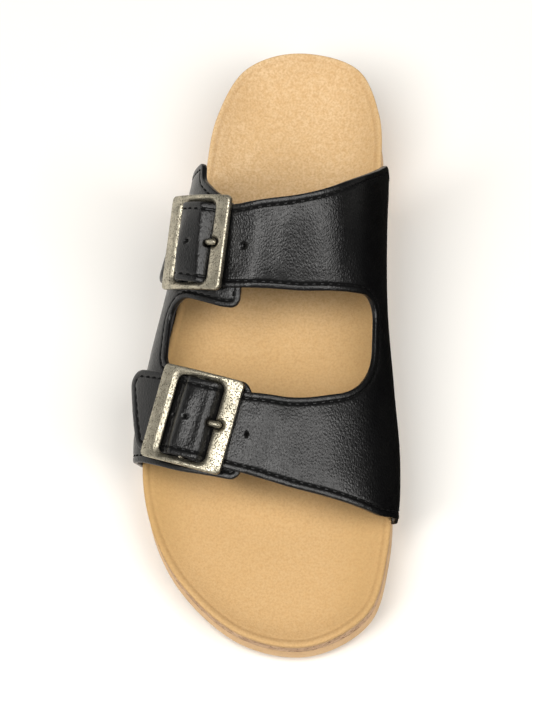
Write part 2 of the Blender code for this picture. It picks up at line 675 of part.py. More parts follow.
# Buckles: p runs along the strap towards the medial side, q across it towards the heel, n outwards
class Buckle:
    """A buckle's place on its strap, with its own axes and its seat over the last."""

    def __init__(self, name, s, y, lean, tip_rear, tip_front, flare):
        self.name = name
        self.tip_rear = tip_rear
        self.tip_front = tip_front
        self.flare = flare
        self.flat = np.array([s, y])
        self.centre = LAST_SURFACE.at(s, y)
        turn = math.radians(lean)
        along = np.array([math.cos(turn), -math.sin(turn)])
        across = np.array([math.sin(turn), math.cos(turn)])
        run = self.chord(along * WINDOW_P) / (2 * WINDOW_P)
        side = self.chord(across * WINDOW_Q) / (2 * WINDOW_Q)
        stretch = np.linalg.norm(run)
        normal = np.cross(run, side)
        normal = normal / np.linalg.norm(normal)
        self.axes = np.array([run / stretch, np.cross(normal, run / stretch), normal])
        shear = side @ self.axes[0] / stretch
        self.along = along / stretch
        self.across = (across - along * shear) / (side @ self.axes[1])
        self.base = self.seat()
        under_strap = self.local(*self.samples(*BAR_SPAN, STRAP_HALF), 0.0)
        self.bump = self.base + BUMP_LEVEL - under_strap[:, 2].min()

    def chord(self, reach):
        """Straight line over the last between two flat places either side of the middle."""
        return LAST_SURFACE.at(*(self.flat + reach)) - LAST_SURFACE.at(*(self.flat - reach))

    def pattern(self, p, q):
        """Flat-pattern place of a point on the strap."""
        return self.flat + self.along * p + self.across * q

    def strap_place(self, flat):
        """The reverse of pattern: distance along the strap for flat-pattern places."""
        return np.linalg.solve(np.c_[self.along, self.across], (flat - self.flat).T)[0]

    def samples(self, start, end, half):
        across = np.linspace(-half, half, SEAT_STEPS[1])
        p, q = np.meshgrid(np.linspace(start, end, SEAT_STEPS[0]), across)
        places = np.array([self.pattern(a, b) for a, b in zip(p.ravel(), q.ravel())])
        return places[:, 0], places[:, 1]

    def local(self, s, y, offset):
        """Points over the last, in the buckle's own axes."""
        return (LAST_SURFACE.at(s, y, np.full(len(s), offset)) - self.centre) @ self.axes.T

    def seat(self):
        """Height of the frame's underside so that its bars clear the strap and its centre bar the tab."""
        heights = []
        for start, end in ((WINDOW_P, FRAME_P), (-FRAME_P, -WINDOW_P)):
            strap = self.local(*self.samples(start, end, STRAP_HALF), STRAP_REST + WALL)
            bend = np.sqrt(BEND_RADIUS ** 2 - strap[:, 0] ** 2) - BEND_RADIUS
            heights.append((strap[:, 2] - bend).max() + GAP)
        tab = self.local(*self.samples(*BAR_SPAN, FRAME_Q), WALL)
        heights.append(tab[:, 2].max() + GAP - BAR_BOTTOM)
        return max(heights)

    def place(self, points):
        """Points (p, q, n) bent with the frame and set on the last."""
        p, q, n = np.array(points, float).T
        radius = BEND_RADIUS + n
        bent = np.c_[radius * np.sin(p / BEND_RADIUS), q,
                     radius * np.cos(p / BEND_RADIUS) - BEND_RADIUS + self.base]
        return self.centre + bent @ self.axes


def frame_loop(half_p, half_q, radius):
    """Rounded rectangle of points (p, q) with the same count for every size."""
    points = []
    for corner in range(4):
        sign_p = (1, -1, -1, 1)[corner]
        sign_q = (1, 1, -1, -1)[corner]
        centre = np.array([sign_p * (half_p - radius), sign_q * (half_q - radius)])
        for t in np.linspace(0, math.pi / 2, CORNER_STEPS):
            angle = corner * math.pi / 2 + t
            points.append(centre + radius * np.array([math.cos(angle), math.sin(angle)]))
        if corner % 2 == 0:
            end = np.array([-centre[0], centre[1]]) + np.array([0, sign_q * radius])
            points.extend(points[-1] + (end - points[-1]) * t for t in np.linspace(0, 1, BEND_STEPS)[1:-1])
    return points


def ring_mesh(name, buckle):
    loops = [[(p, q, n) for p, q in frame_loop(half_p, half_q, radius)]
             for _, half_p, half_q, radius, n in FRAME_LOOPS]
    count = len(loops[0])
    points = buckle.place([point for loop in loops for point in loop])
    faces = []
    for k in range(len(loops)):
        a, b = k * count, (k + 1) % len(loops) * count
        for i in range(count):
            j = (i + 1) % count
            faces.append((a + i, a + j, b + j, b + i))
    return close_mesh(name, points, faces)


def prism_mesh(name, buckle, low, high):
    """A prism between two equal outlines given as points (p, q, n)."""
    count = len(low)
    faces = [tuple(range(count)), tuple(range(2 * count - 1, count - 1, -1))]
    faces += [(i, i + count, (i + 1) % count + count, (i + 1) % count) for i in range(count)]
    return close_mesh(name, buckle.place(list(low) + list(high)), faces)


def make_buckle(buckle, metal):
    name = "buckle_frame_" + buckle.name
    frame = new_object(name, ring_mesh(name, buckle), metal)
    staple = [(-LUG_OUT, LUG_TOP), (-LUG_OUT, BAR_LOW), (LUG_OUT, BAR_LOW), (LUG_OUT, LUG_TOP),
              (LUG_IN, LUG_TOP), (LUG_IN, BAR_HIGH), (-LUG_IN, BAR_HIGH), (-LUG_IN, LUG_TOP)]
    bar = prism_mesh("bar_" + buckle.name, buckle, [(-BAR_HALF, q, n) for q, n in staple],
                     [(BAR_HALF, q, n) for q, n in staple])
    boolean(frame, new_object("bar_" + buckle.name, bar), "UNION")
    half_turn = np.linspace(0, math.pi, NOTCH_STEPS)
    round_end = [(NOTCH_P + NOTCH_HALF * math.sin(t), -NOTCH_HALF * math.cos(t)) for t in half_turn]
    slot = round_end + [(WINDOW_P - NOTCH_EXTRA, NOTCH_HALF), (WINDOW_P - NOTCH_EXTRA, -NOTCH_HALF)]
    notch = prism_mesh("notch_" + buckle.name, buckle, [(p, q, -NOTCH_EXTRA) for p, q in slot],
                       [(p, q, 2 * FRAME_THICK) for p, q in slot])
    boolean(frame, new_object("notch_" + buckle.name, notch), "DIFFERENCE")


def make_prong(buckle, metal):
    curve = bpy.data.curves.new("prong_" + buckle.name, "CURVE")
    curve.dimensions = "3D"
    curve.bevel_depth = PRONG_RADIUS * MM
    curve.bevel_resolution = PRONG_BEVEL
    curve.use_fill_caps = True
    points = buckle.place([(p, 0.0, n) for p, n, _ in PRONG])
    spline = curve.splines.new("POLY")
    spline.points.add(len(points) - 1)
    for knot, point, row in zip(spline.points, points, PRONG):
        knot.co = (*(point * MM), 1.0)
        knot.radius = row[2]
    new_object("prong_" + buckle.name, curve, metal)


# Upper
def strap_rows(buckle):
    """Corners of a strap's free end, from its heel-side neck round the tip to its toe-side neck."""
    rows = [("neck", NECK_P, STRAP_HALF, NECK_RADIUS), ("tip", -buckle.tip_rear, STRAP_HALF, TIP_RADIUS),
            ("tip", -buckle.tip_front, -STRAP_HALF, TIP_RADIUS), ("neck", NECK_P, -STRAP_HALF, NECK_RADIUS)]
    return [(name, *buckle.pattern(p, q), radius) for name, p, q, radius in rows]


def strap_lift(flat, buckles):
    """How far the straps stand off the last: over the tabs and centre bars, down again, out at the tip."""
    lift = np.zeros(len(flat))
    for buckle, on_strap in zip(buckles, (flat[:, 1] < STRAP_DIVIDE, flat[:, 1] >= STRAP_DIVIDE)):
        p = buckle.strap_place(flat[on_strap])
        rows = np.array([
            (-SOLE_LENGTH, STRAP_REST), (-DIP_P, STRAP_REST), (-BUMP_P, buckle.bump), (BUMP_P, buckle.bump),
            (DIP_P, STRAP_REST), (RAMP_P[0], STRAP_REST), (RAMP_P[1], 0.0), (SOLE_LENGTH, 0.0)])
        i = np.clip(np.searchsorted(rows[:, 0], p) - 1, 0, len(rows) - 2)
        t = (p - rows[i, 0]) / (rows[i + 1, 0] - rows[i, 0])
        lift[on_strap] = rows[i, 1] + (rows[i + 1, 1] - rows[i, 1]) * t * t * (3 - 2 * t)
        lift[on_strap] += buckle.flare * (np.maximum(-p - FRAME_P, 0) / FLARE_LENGTH) ** 2
    return lift


def pattern_mesh(name, rows, lift, lines, holes=()):
    """A wall of the upper, cut to a flat pattern and wrapped on the last."""
    loop = split_loop(rounded_loop(rows), PATTERN_STEP, lines)
    flat, triangles = fill(loop, PATTERN_SPACING, holes=holes, lines=lines)

    def wrap(extra):
        return lambda p: LAST_SURFACE.at(p[:, 0], p[:, 1], lift(p) + extra)

    return slab_mesh(name, flat, triangles, wrap(WALL), wrap(0.0))


def make_upper(buckles):
    front, rear = buckles
    medial = MEDIAL_REAR + strap_rows(rear) + WINDOW + strap_rows(front) + MEDIAL_FRONT
    near, far = HOLE_P
    corners = [(near, -HOLE_HALF), (far, -HOLE_HALF), (far, HOLE_HALF), (near, HOLE_HALF)]
    holes = [rounded_loop([("hole", *buckle.pattern(p, q), HOLE_CORNER) for p, q in corners])
             for buckle in buckles]
    leather = plain_material("leather_black", (0.018, 0.018, 0.019), 0.45)
    turns = [(np.array([sign * s, 0.0]), np.array([0.0, 1.0]), SOLE_LENGTH)
             for sign in (-1, 1) for s in TURN_LINES]
    bends = []
    for buckle in buckles:
        direction = buckle.across / np.linalg.norm(buckle.across)
        bends += [(buckle.pattern(sign * p, 0.0), direction, STRAP_HALF + NECK_EXTRA)
                  for sign in (-1, 1) for p in STRAP_LINES]
    quarter = pattern_mesh("upper", medial, lambda p: strap_lift(p, buckles), turns + bends, holes)
    upper = new_object("upper", quarter, leather)
    tabs = pattern_mesh("lateral_quarter", LATERAL, lambda p: np.zeros(len(p)), turns)
    boolean(upper, new_object("lateral_quarter", tabs), "UNION")


def stand_on_origin():
    """Move everything so that the origin is under the middle of the whole shoe."""
    bpy.context.view_layer.update()
    shapes = [o for o in STAND.children if not o.hide_render]
    corners = np.array([o.matrix_world @ Vector(c) for o in shapes for c in o.bound_box])
    low, high = corners.min(axis=0), corners.max(axis=0)
    STAND.location = (-(low[0] + high[0]) / 2, -(low[1] + high[1]) / 2, -low[2])


STAND = bpy.data.objects.new("sandal", None)
bpy.context.scene.collection.objects.link(STAND)
make_sole()
BOTH = [Buckle(*row) for row in BUCKLES]
make_upper(BOTH)
for each in BOTH:
    pewter = plain_material("pewter_" + each.name, (0.50, 0.48, 0.45), 0.35, 1.0)
    make_buckle(each, pewter)
    make_prong(each, pewter)
stand_on_origin()
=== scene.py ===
"""Looks of the two-strap footbed sandal for the right foot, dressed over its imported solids.

The toe points to -Y, the big-toe (medial) side is +X and the floor is z = 0.
Sizes and tables are in millimetres in the last's own frame, and meshes are in metres.
"""

import math

import bmesh
import bpy
import numpy as np
from mathutils import Matrix, Vector
from mathutils.geometry import delaunay_2d_cdt


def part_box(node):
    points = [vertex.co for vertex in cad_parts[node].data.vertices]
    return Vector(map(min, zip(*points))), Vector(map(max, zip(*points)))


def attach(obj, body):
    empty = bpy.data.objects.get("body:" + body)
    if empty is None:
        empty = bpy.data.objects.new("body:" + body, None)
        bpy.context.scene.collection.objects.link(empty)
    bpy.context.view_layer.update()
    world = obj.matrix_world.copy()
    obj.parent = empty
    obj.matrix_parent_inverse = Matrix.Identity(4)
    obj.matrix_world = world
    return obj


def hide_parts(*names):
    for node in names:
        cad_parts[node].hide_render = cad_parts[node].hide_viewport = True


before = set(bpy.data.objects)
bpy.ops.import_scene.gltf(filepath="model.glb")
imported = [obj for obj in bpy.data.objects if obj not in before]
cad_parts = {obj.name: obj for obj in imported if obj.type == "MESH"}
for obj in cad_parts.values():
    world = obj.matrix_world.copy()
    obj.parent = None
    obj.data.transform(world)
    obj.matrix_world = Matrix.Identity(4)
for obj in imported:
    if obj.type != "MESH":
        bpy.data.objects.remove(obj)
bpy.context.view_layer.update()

MM = 0.001

# Driving sizes, the same as in the solids
SOLE_LENGTH = 260.0
BALL_WIDTH = 103.3
INSTEP_HEIGHT = 86.0
WALL = 2.2
GAP = 0.3

# Rim outline seen from above, from the heel round the medial side.
# along is the share of the sole's length from the heel, across the share of the ball width from the middle.
OUTLINE = (
    # name, along, across
    ("heel_back", 0.000, -0.029),
    ("heel_back_medial", 0.026, 0.232),
    ("heel_medial", 0.109, 0.332),
    ("heel_front_medial", 0.205, 0.349),
    ("arch_medial", 0.340, 0.349),
    ("waist_medial", 0.467, 0.361),
    ("ball_rear_medial", 0.590, 0.397),
    ("ball_medial", 0.713, 0.434),
    ("big_toe_medial", 0.840, 0.430),
    ("big_toe_corner", 0.942, 0.361),
    ("toe_tip", 0.999, 0.136),
    ("toe_lateral", 0.985, -0.131),
    ("little_toe", 0.904, -0.383),
    ("ball_front_lateral", 0.809, -0.518),
    ("ball_lateral", 0.705, -0.566),
    ("ball_rear_lateral", 0.590, -0.528),
    ("waist_lateral", 0.467, -0.467),
    ("arch_lateral", 0.340, -0.411),
    ("heel_front_lateral", 0.225, -0.376),
    ("heel_lateral", 0.121, -0.342),
    ("heel_back_lateral", 0.032, -0.232),
)
# Share of the length, either side of the middle, along which the rim has one lateral and one medial side
RIM_REACH = 0.47

# Heights of the footbed over the floor, and how late its bowl turns up towards each rim
FOOTBED_COLUMNS = ("along", "rim_lateral", "rim_medial", "bed", "bowl_lateral", "bowl_medial")
FOOTBED = (
    (0.00, 36.0, 36.0, 25.0, 3.0, 3.0),
    (0.15, 36.0, 36.5, 23.5, 3.2, 3.0),
    (0.35, 34.5, 39.0, 27.0, 3.5, 2.2),
    (0.50, 30.5, 34.5, 25.5, 4.0, 2.4),
    (0.65, 26.0, 28.0, 21.0, 5.0, 4.0),
    (0.80, 24.3, 25.0, 18.8, 6.0, 6.0),
    (1.00, 26.5, 26.5, 20.0, 6.0, 6.0),
)

# Sections of the last under the straps: the crest's place, its height as a share of the instep's,
# and how far the walls belly out over the rim
LAST_COLUMNS = ("along", "crest_x", "crest", "belly_lateral", "belly_medial")
LAST = (
    (0.20, 2.0, 1.200, 0.0, 1.0),
    (0.36, 2.0, 1.030, 0.8, 1.2),
    (0.51, 0.0, 0.830, 1.4, 1.4),
    (0.67, -2.0, 0.710, 0.6, 1.2),
    (0.82, -2.0, 0.630, 0.0, 0.6),
)
ROUND_LATERAL = 2.0
ROUND_MEDIAL = 2.2
BELLY_RISE_LATERAL = 8.0
BELLY_RISE_MEDIAL = 4.0
TURN_START = 95.0
TURN_END = 97.0
MARGIN_END = 104.0
TURN_RADIUS = 0.6
MARGIN_REACH = 7.0

# Sole
OUTSOLE_HEEL = 11.5
OUTSOLE_TOE = 8.0
TOE_SPRING = 7.0
SPRING_START = 0.74
SPRING_POWER = 1.7
LINING = 1.4
RIM_ROUND = 2.6
CORK_TAPER = 0.3
OUTSOLE_FLARE = 0.6
OUTSOLE_ROUND = 1.2
WAIST_START = 0.38
WAIST_END = 0.62
WAIST_RELIEF = 1.6
HEEL_BEVEL = 2.2
HEEL_BEVEL_END = 0.05
SPINE_FRONT = -88.0
SPINE_REAR = 95.0
TOE_BAR = 2.4
TOE_BAR_X = -2.0
TOE_BAR_Y = -69.0
TOE_BAR_CURVE = 0.021
TOE_BAR_LENGTH = 8.0
PAD = 1.2
PAD_Y = -18.0
PAD_LENGTH = 16.0

# Upper in the flat: corners as (name, s, y, corner radius), s from the crest with medial positive
MEDIAL_REAR = [
    ("margin_rear", MARGIN_END, 70.0, 0.0),
    ("rear_shoulder", 58.0, 69.6, 14.0),
    ("rear_instep", 8.0, 40.3, 50.0),
]
WINDOW = [
    ("window_rear", 7.0, 4.5, 60.0),
    ("window_rear_corner", 44.8, 8.6, 8.0),
    ("window_front_corner", 44.8, -30.3, 24.0),
    ("window_front", 11.0, -37.8, 60.0),
]
MEDIAL_FRONT = [
    ("front_instep", 8.0, -73.0, 120.0),
    ("front_shoulder", 55.0, -80.0, 30.0),
    ("margin_front", MARGIN_END, -71.5, 0.0),
]
LATERAL = [
    ("margin_front", -MARGIN_END, -50.0, 0.0),
    ("front_wall", -62.5, -59.5, 20.0),
    ("front_tab_edge", -42.5, -66.0, 60.0),
    ("front_tab_end", -14.5, -71.2, 5.0),
    ("front_tab_end_rear", -9.0, -38.0, 6.0),
    ("front_tab_corner", -12.5, -31.6, 5.0),
    ("front_tab_rear", -27.5, -28.5, 30.0),
    ("window_front_corner", -51.2, -21.8, 8.0),
    ("window_rear_corner", -53.0, 8.6, 8.0),
    ("rear_tab_front", -26.0, -1.0, 15.0),
    ("rear_tab_corner", -18.2, -2.2, 12.0),
    ("rear_tab_end", -17.0, 33.5, 6.0),
    ("rear_tab_edge", -32.5, 46.0, 12.0),
    ("rear_wing", -40.6, 53.2, 8.0),
    ("rear_wing_top", -42.0, 60.8, 4.0),
    ("margin_rear", -MARGIN_END, 69.0, 0.0),
]
MARGIN_MEDIAL = (-74.8, 71.8)
MARGIN_LATERAL = (-55.0, 69.5)
MARGIN_RAMP = 3.0
RECESS = (8.2, 9.4)
STRAP_DIVIDE = -15.0
STRAP_HALF = 15.5
STRAP_FULL = 16.1
STRAP_SUNK = 0.5
STRAP_REST = WALL - STRAP_SUNK
NECK_P = 16.0
TIP_RADIUS = 5.5
FLARE_LENGTH = 10.0
NECK_RADIUS = 25.0
HOLE_P = (6.6, 9.9)
HOLE_HALF = 1.5
HOLE_CORNER = 1.4
BUMP_P = 4.1
DIP_P = 9.0
DESCENT_P = (5.5, 10.0)
RAMP_P = (24.0, 34.0)

# Buckles: middle of each frame in the flat pattern, the strap's lean in degrees, its tip's two corners
# beyond the middle, how far the tip stands off the wall at FLARE_LENGTH beyond the frame,
# and the places (p, q) of its punched holes
BUCKLES = (
    # name, s, y, lean, rear corner, front corner, flare, punched holes
    ("front", -34.0, -46.0, 16.0, 38.5, 22.5, 1.3, ((22.2, 0.0), (-1.2, 0.0), (-8.0, 0.0))),
    ("rear", -37.8, 25.5, 14.0, 27.0, 29.0, 3.0, ((20.8, 1.2), (0.4, 0.0))),
)
PUNCH_RADIUS = 0.75
PUNCH_FLOOR = 0.6
PUNCH_DEPTH = 1.8
PUNCH_CLEAR = 1.4
FRAME_P = 17.9
FRAME_Q = 19.5
WINDOW_P = 10.5
WINDOW_Q = 16.6
FRAME_THICK = 2.4
BEND_RADIUS = 64.0
FRAME_CORNER = 2.2
WINDOW_CORNER = 3.0
OUTER_PROFILE = (
    # name, inwards from the outer edge, height
    ("foot", 0.3, 0.0),
    ("low", 0.0, 0.3),
    ("side", 0.0, 1.6),
    ("shoulder", 0.16, 2.05),
    ("brow", 0.42, 2.3),
    ("top", 0.85, FRAME_THICK),
)
INNER_PROFILE = (
    # name, outwards from the window's edge, height
    ("top", 1.65, FRAME_THICK),
    ("brow", 1.35, 2.3),
    ("bevel", 0.25, 1.2),
    ("side", 0.0, 0.85),
    ("low", 0.0, 0.3),
    ("foot", 0.3, 0.0),
)
BAR_HALF = 0.9
BAR_LOW = -1.7
BAR_HIGH = 0.1
BAR_BOTTOM = -1.95
BAR_SPAN = (-2.0, 6.0)
LUG_IN = 17.1
LUG_OUT = 18.8
LUG_TOP = 0.8
BUMP_LEVEL = 0.55
NOTCH_P = 12.2
NOTCH_HALF = 1.6
PRONG = (
    # p, n, radius
    (1.5, -1.10, 0.95),
    (6.0, -1.10, 0.95),
    (7.6, -0.50, 1.15),
    (8.7, 0.80, 1.30),
    (9.8, 1.65, 1.35),
    (12.2, 1.85, 1.35),
)

# Turned edges of the upper, by the distance from the edge
EDGE_ROUND = 0.6
BEAD_AT = 1.4
BEAD_WIDTH = 0.8
BEAD = 0.12
STITCH_AT = 2.8
GROOVE_WIDTH = 0.45
GROOVE = 0.42
PUFF_START = 3.2
PUFF_END = 10.0
PUFF = 0.15
HOLE_ROUND = 0.3
HOLE_DIP = 0.08
HOLE_DIP_WIDTH = 1.2

# Stitches
STITCH_PITCH = 3.4
STITCH_LENGTH = 2.5
STITCH_WIDTH = 0.95
STITCH_HEIGHT = 0.62
STITCH_DIVE = 0.35
STITCH_SLANT = math.radians(7.0)
STITCH_STOP = 1.5
STITCH_RINGS = (-1.0, -0.85, -0.5, 0.0, 0.5, 0.85, 1.0)
STITCH_TAPER = 0.9
STITCH_CROWN = 0.3
STITCH_AHEAD = 0.3

# Soft creases of the straps in the flat pattern: troughs are deep above zero, ridges below
CREASES = (
    # name, s, y, half length, half width, turn in degrees from the foot's length, depth
    ("rear_dip", -20.5, 21.5, 22.0, 9.5, 14.0, 1.20),
    ("rear_ridge_lateral", -3.5, 24.0, 22.0, 6.0, 2.0, -0.40),
    ("rear_trough", 5.0, 23.0, 26.0, 4.6, 1.0, 0.15),
    ("rear_ridge_medial", 13.0, 25.0, 22.0, 5.0, -2.0, -0.15),
    ("rear_fold_medial", 26.0, 28.0, 24.0, 5.0, -4.0, 0.35),
    ("front_ridge_lateral", 2.5, -54.0, 24.0, 8.0, 3.0, -0.60),
    ("front_trough", 15.5, -56.0, 28.0, 5.5, -3.0, 0.20),
    ("front_ridge", 27.0, -59.0, 24.0, 7.0, -10.0, -0.25),
    ("front_bar_ridge", -36.1, -45.4, 14.0, 2.8, 16.0, -0.50),
    ("front_bar_trough", -31.0, -46.9, 14.0, 2.8, 16.0, 0.40),
    ("front_bar_fold", -39.4, -44.5, 14.0, 1.8, 16.0, 0.30),
    ("rear_bar_ridge", -40.8, 26.3, 14.0, 4.2, 14.0, -0.60),
    ("rear_bar_fold", -44.2, 27.1, 14.0, 2.4, 14.0, 0.40),
)

# Footbed's rim: a soft line at the foot of its rolled edge
RIM_LINE_AT = 3.2
RIM_LINE_WIDTH = 0.8
RIM_LINE = 0.3

# Tread
GROOVE_PITCH = 7.4
GROOVE_WAVE = 1.7
GROOVE_WAVE_LENGTH = 15.0
GROOVE_TOP = 0.95
GROOVE_FLOOR = 0.5
GROOVE_DEPTH = 1.0
TREAD_BORDER = 6.0
TREAD_STEP = 1.5
TREAD_LEAST = 4
KEY_DIGITS = 3

# Mesh fineness
ARC_ANGLE = math.radians(4.0)
CORNER_SHARE = 0.49
EDGE_STEP = 1.0
HOLE_STEP = 0.3
EDGE_RINGS = (0.06, 0.2, 0.45, 0.8, 1.2, 1.6, 2.0, 2.3, 2.55, 2.8, 3.05, 3.3, 3.8, 4.6)
HOLE_RINGS = (0.08, 0.3, 0.8)
RIM_RINGS = (0.1, 0.3, 0.65, 1.1, 1.6, 2.1, 2.5, 2.85, 3.2, 3.6, 4.1, 4.8, 5.8)
SOLE_RINGS = (0.15, 0.4, 0.8, 1.3)
UPPER_SPACING = 1.2
FOOTBED_SPACING = 1.7
CORK_SPACING = 6.0
OUTSOLE_SPACING = 3.0
HEX_ROW = 0.87
CLEAR_SHARE = 0.93
LEAST_EDGE = 0.05
TINY = 1e-6
BLOCK = 2000
SHARP_ANGLE = math.radians(50.0)
CURVE_STEPS = 24
CIRCLE_STEPS = 24
LEAST_STEPS = 8
ARCH_STEPS = 400
BELLY_STEPS = 60
TURN_STEPS = 5
LAST_END = 95.0
LAST_STEP = 1.0
GRID_CLEAR = 0.6
HOLE_CLEAR = 0.5
WELD = 1e-5
CORK_SIDES = (0.02, 0.25, 0.5, 0.75, 0.98)
OUTSOLE_SIDES = (0.03, 0.3, 0.6, 0.9)
SEAT_STEPS = (9, 13)
NOTCH_STEPS = 17
MEDIAL_STEPS = 14
FRAME_STEPS = 16
CORNER_STEPS = 9
PRONG_STEPS = 40
PRONG_SIDES = 20
CAP_STEPS = 8
STITCH_SIDES = 8

# Order of the upper's materials after the leather of its outer face
INNER_MATERIAL = 1
# The blind punches' floors take the black thread: painted shade for the depth of a hole.
PUNCH_SHADE_MATERIAL = 2

# Where the suede's painted shade, a deeper colour towards the toe and near both side rims, begins and ends
SUEDE_SHADE_Y = (-10.0, 75.0)
SUEDE_SHADE_LATERAL_X = (-42.0, -27.0)
SUEDE_SHADE_MEDIAL_X = (25.0, 40.0)

# Camera at the photograph's place over the shoe
EYE = (66.3, -417.0, 1157.6)
PHOTO_UP = (-0.0297, 0.9393, 0.342)
AIM = (-8.8, -8.0, 31.0)
LENS = 146.0
SENSOR = 36.0

# Surroundings: lights and floor in metres, the dark card of painted shade beside the medial walls in
# millimetres
LIGHTS = (
    # name, place, aim, width, length, watts, colour
    ("lateral_box", (-0.56, -0.42, 1.61), (0.0, 0.0, 0.04), 0.58, 1.4, 23.0, (1.0, 0.985, 0.96)),
    ("medial_box", (0.81, -0.42, 1.60), (0.0, 0.0, 0.04), 0.66, 1.4, 21.0, (1.0, 0.985, 0.96)),
    ("lateral_fill", (-1.6, 0.1, 0.27), (0.0, 0.0, 0.04), 2.6, 0.5, 5.5, (1.0, 0.99, 0.97)),
)
WORLD = (1.0, 0.985, 0.955)
WORLD_STRENGTH = 0.11
FLOOR_HALF = 4.0
# The dark card is painted shade: it darkens what the medial walls reflect.
CARD_Y = (-150.0, 120.0)
CARD_BENDS = ((44.0, 0.5), (68.0, 0.5), (68.0, 75.0))


def hermite(xs, ys, x):
    """Smooth curve through the points (xs, ys), read at x."""
    slopes = np.gradient(ys, xs)
    x = np.clip(x, xs[0], xs[-1])
    i = np.clip(np.searchsorted(xs, x) - 1, 0, len(xs) - 2)
    step = xs[i + 1] - xs[i]
    t = (x - xs[i]) / step
    start = ys[i] * (1 + 2 * t) * (1 - t) ** 2 + slopes[i] * step * t * (1 - t) ** 2
    end = ys[i + 1] * t * t * (3 - 2 * t) + slopes[i + 1] * step * t * t * (t - 1)
    return start + end


def ramp(x, start, end):
    """Straight ramp from 0 at start to 1 at end."""
    return np.clip((x - start) / (end - start), 0, 1)


def smooth(x, start, end):
    """Soft step from 0 at start to 1 at end."""
    t = ramp(x, start, end)
    return t * t * (3 - 2 * t)


def bell(x, middle, width):
    return np.exp(-((x - middle) / width) ** 2)


def rounded(distance, radius):
    """How far a rounded edge drops at a distance from it."""
    near = np.clip(1 - distance / radius, 0, 1)
    return radius * (1 - np.sqrt(1 - near * near))


def blocks(count):
    return np.array_split(np.arange(count), max(1, count // BLOCK))


def unit(vectors):
    return vectors / np.linalg.norm(vectors, axis=-1, keepdims=True)


def run_along(points):
    """Distance walked at each point of a line."""
    return np.r_[0, np.cumsum(np.linalg.norm(np.diff(points, axis=0), axis=1))]


def walked(line, run, places):
    """Points of a flat line at the given distances along it."""
    return np.c_[np.interp(places, run, line[:, 0]), np.interp(places, run, line[:, 1])]


def along_of(y):
    """Share of the sole's length from the heel at a place along Y."""
    return 0.5 - np.asarray(y, float) / SOLE_LENGTH


def footbed_row(name, y):
    rows = np.array(FOOTBED)
    return hermite(rows[:, 0], rows[:, FOOTBED_COLUMNS.index(name)], along_of(y))


def footbed_side(name, side, y):
    """A column that has a lateral and a medial value, read by side."""
    return np.where(side > 0, footbed_row(name + "_medial", y), footbed_row(name + "_lateral", y))


def last_row(name, y):
    rows = np.array(LAST)
    return hermite(rows[:, 0], rows[:, LAST_COLUMNS.index(name)], along_of(y))


def closed_curve(points):
    """Centripetal curve through a ring of points."""
    p = np.array(points, float)
    out = []
    for i in range(len(p)):
        a, b, c, d = (p[(i + k) % len(p)] for k in (-1, 0, 1, 2))
        t1 = np.linalg.norm(b - a) ** 0.5
        t2 = t1 + np.linalg.norm(c - b) ** 0.5
        t3 = t2 + np.linalg.norm(d - c) ** 0.5
        for t in np.linspace(t1, t2, CURVE_STEPS, endpoint=False):
            ab = a + (b - a) * t / t1
            bc = b + (c - b) * (t - t1) / (t2 - t1)
            cd = c + (d - c) * (t - t2) / (t3 - t2)
            abc = ab + (bc - ab) * t / t2
            bcd = bc + (cd - bc) * (t - t1) / (t3 - t1)
            out.append(abc + (bcd - abc) * (t - t1) / (t2 - t1))
    return np.array(out)


RIM = closed_curve([(across * BALL_WIDTH, SOLE_LENGTH * (0.5 - along)) for _, along, across in OUTLINE])


def frame_shift():
    """From the last's frame to the part's, by the middle of the footbed."""
    low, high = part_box("footbed_lining")
    middle = (np.array(low) + np.array(high)) / 2 / MM
    own = (RIM.min(axis=0) + RIM.max(axis=0)) / 2
    return np.array([middle[0] - own[0], middle[1] - own[1], 0.0])


SHIFT = frame_shift()


def rim_x(y, side):
    """X of the rim on the lateral (-1) or medial (1) side."""
    on_side = RIM[(RIM[:, 0] * side > 0) & (np.abs(along_of(RIM[:, 1]) - 0.5) < RIM_REACH)]
    on_side = on_side[np.argsort(on_side[:, 1])]
    return np.interp(y, on_side[:, 1], on_side[:, 0])


def spine_at(y):
    """X of the middle between the rim's two sides."""
    return 0.5 * (rim_x(y, -1) + rim_x(y, 1))


def toe_spring(y):
    """How far the front of the sole curves up off the floor."""
    return TOE_SPRING * ramp(along_of(y), SPRING_START, 1) ** SPRING_POWER


def joint_height(y):
    """Height of the glue joint between cork and outsole."""
    thinning = (OUTSOLE_TOE - OUTSOLE_HEEL) * ramp(along_of(y), 0, SPRING_START)
    return toe_spring(y) + OUTSOLE_HEEL + thinning


# The last's surface, which is the inside of the upper
def half_section(y, side):
    """Points (x, z) of one half section from the crest down to the turn under the cork."""
    wall_x = rim_x(y, side) + side * GAP
    word = "medial" if side > 0 else "lateral"
    belly = last_row("belly_" + word, y)
    power = ROUND_MEDIAL if side > 0 else ROUND_LATERAL
    rise = BELLY_RISE_MEDIAL if side > 0 else BELLY_RISE_LATERAL
    crest_x = last_row("crest_x", y)
    crest_z = last_row("crest", y) * INSTEP_HEIGHT
    wide_x = wall_x + side * belly
    wide_z = footbed_row("rim_" + word, y) + rise
    angle = np.linspace(0, math.pi / 2, ARCH_STEPS)
    arch = np.c_[crest_x + (wide_x - crest_x) * np.sin(angle) ** (2 / power),
                 wide_z + (crest_z - wide_z) * np.cos(angle) ** (2 / power)]
    t = np.linspace(0, 1, BELLY_STEPS)[1:]
    flare = np.c_[wide_x - side * belly * t * t * (3 - 2 * t), wide_z - rise * t]
    foot = np.array([[wall_x, joint_height(y) + GAP / 2 + WALL + TURN_RADIUS]])
    return np.vstack([arch, flare, foot])


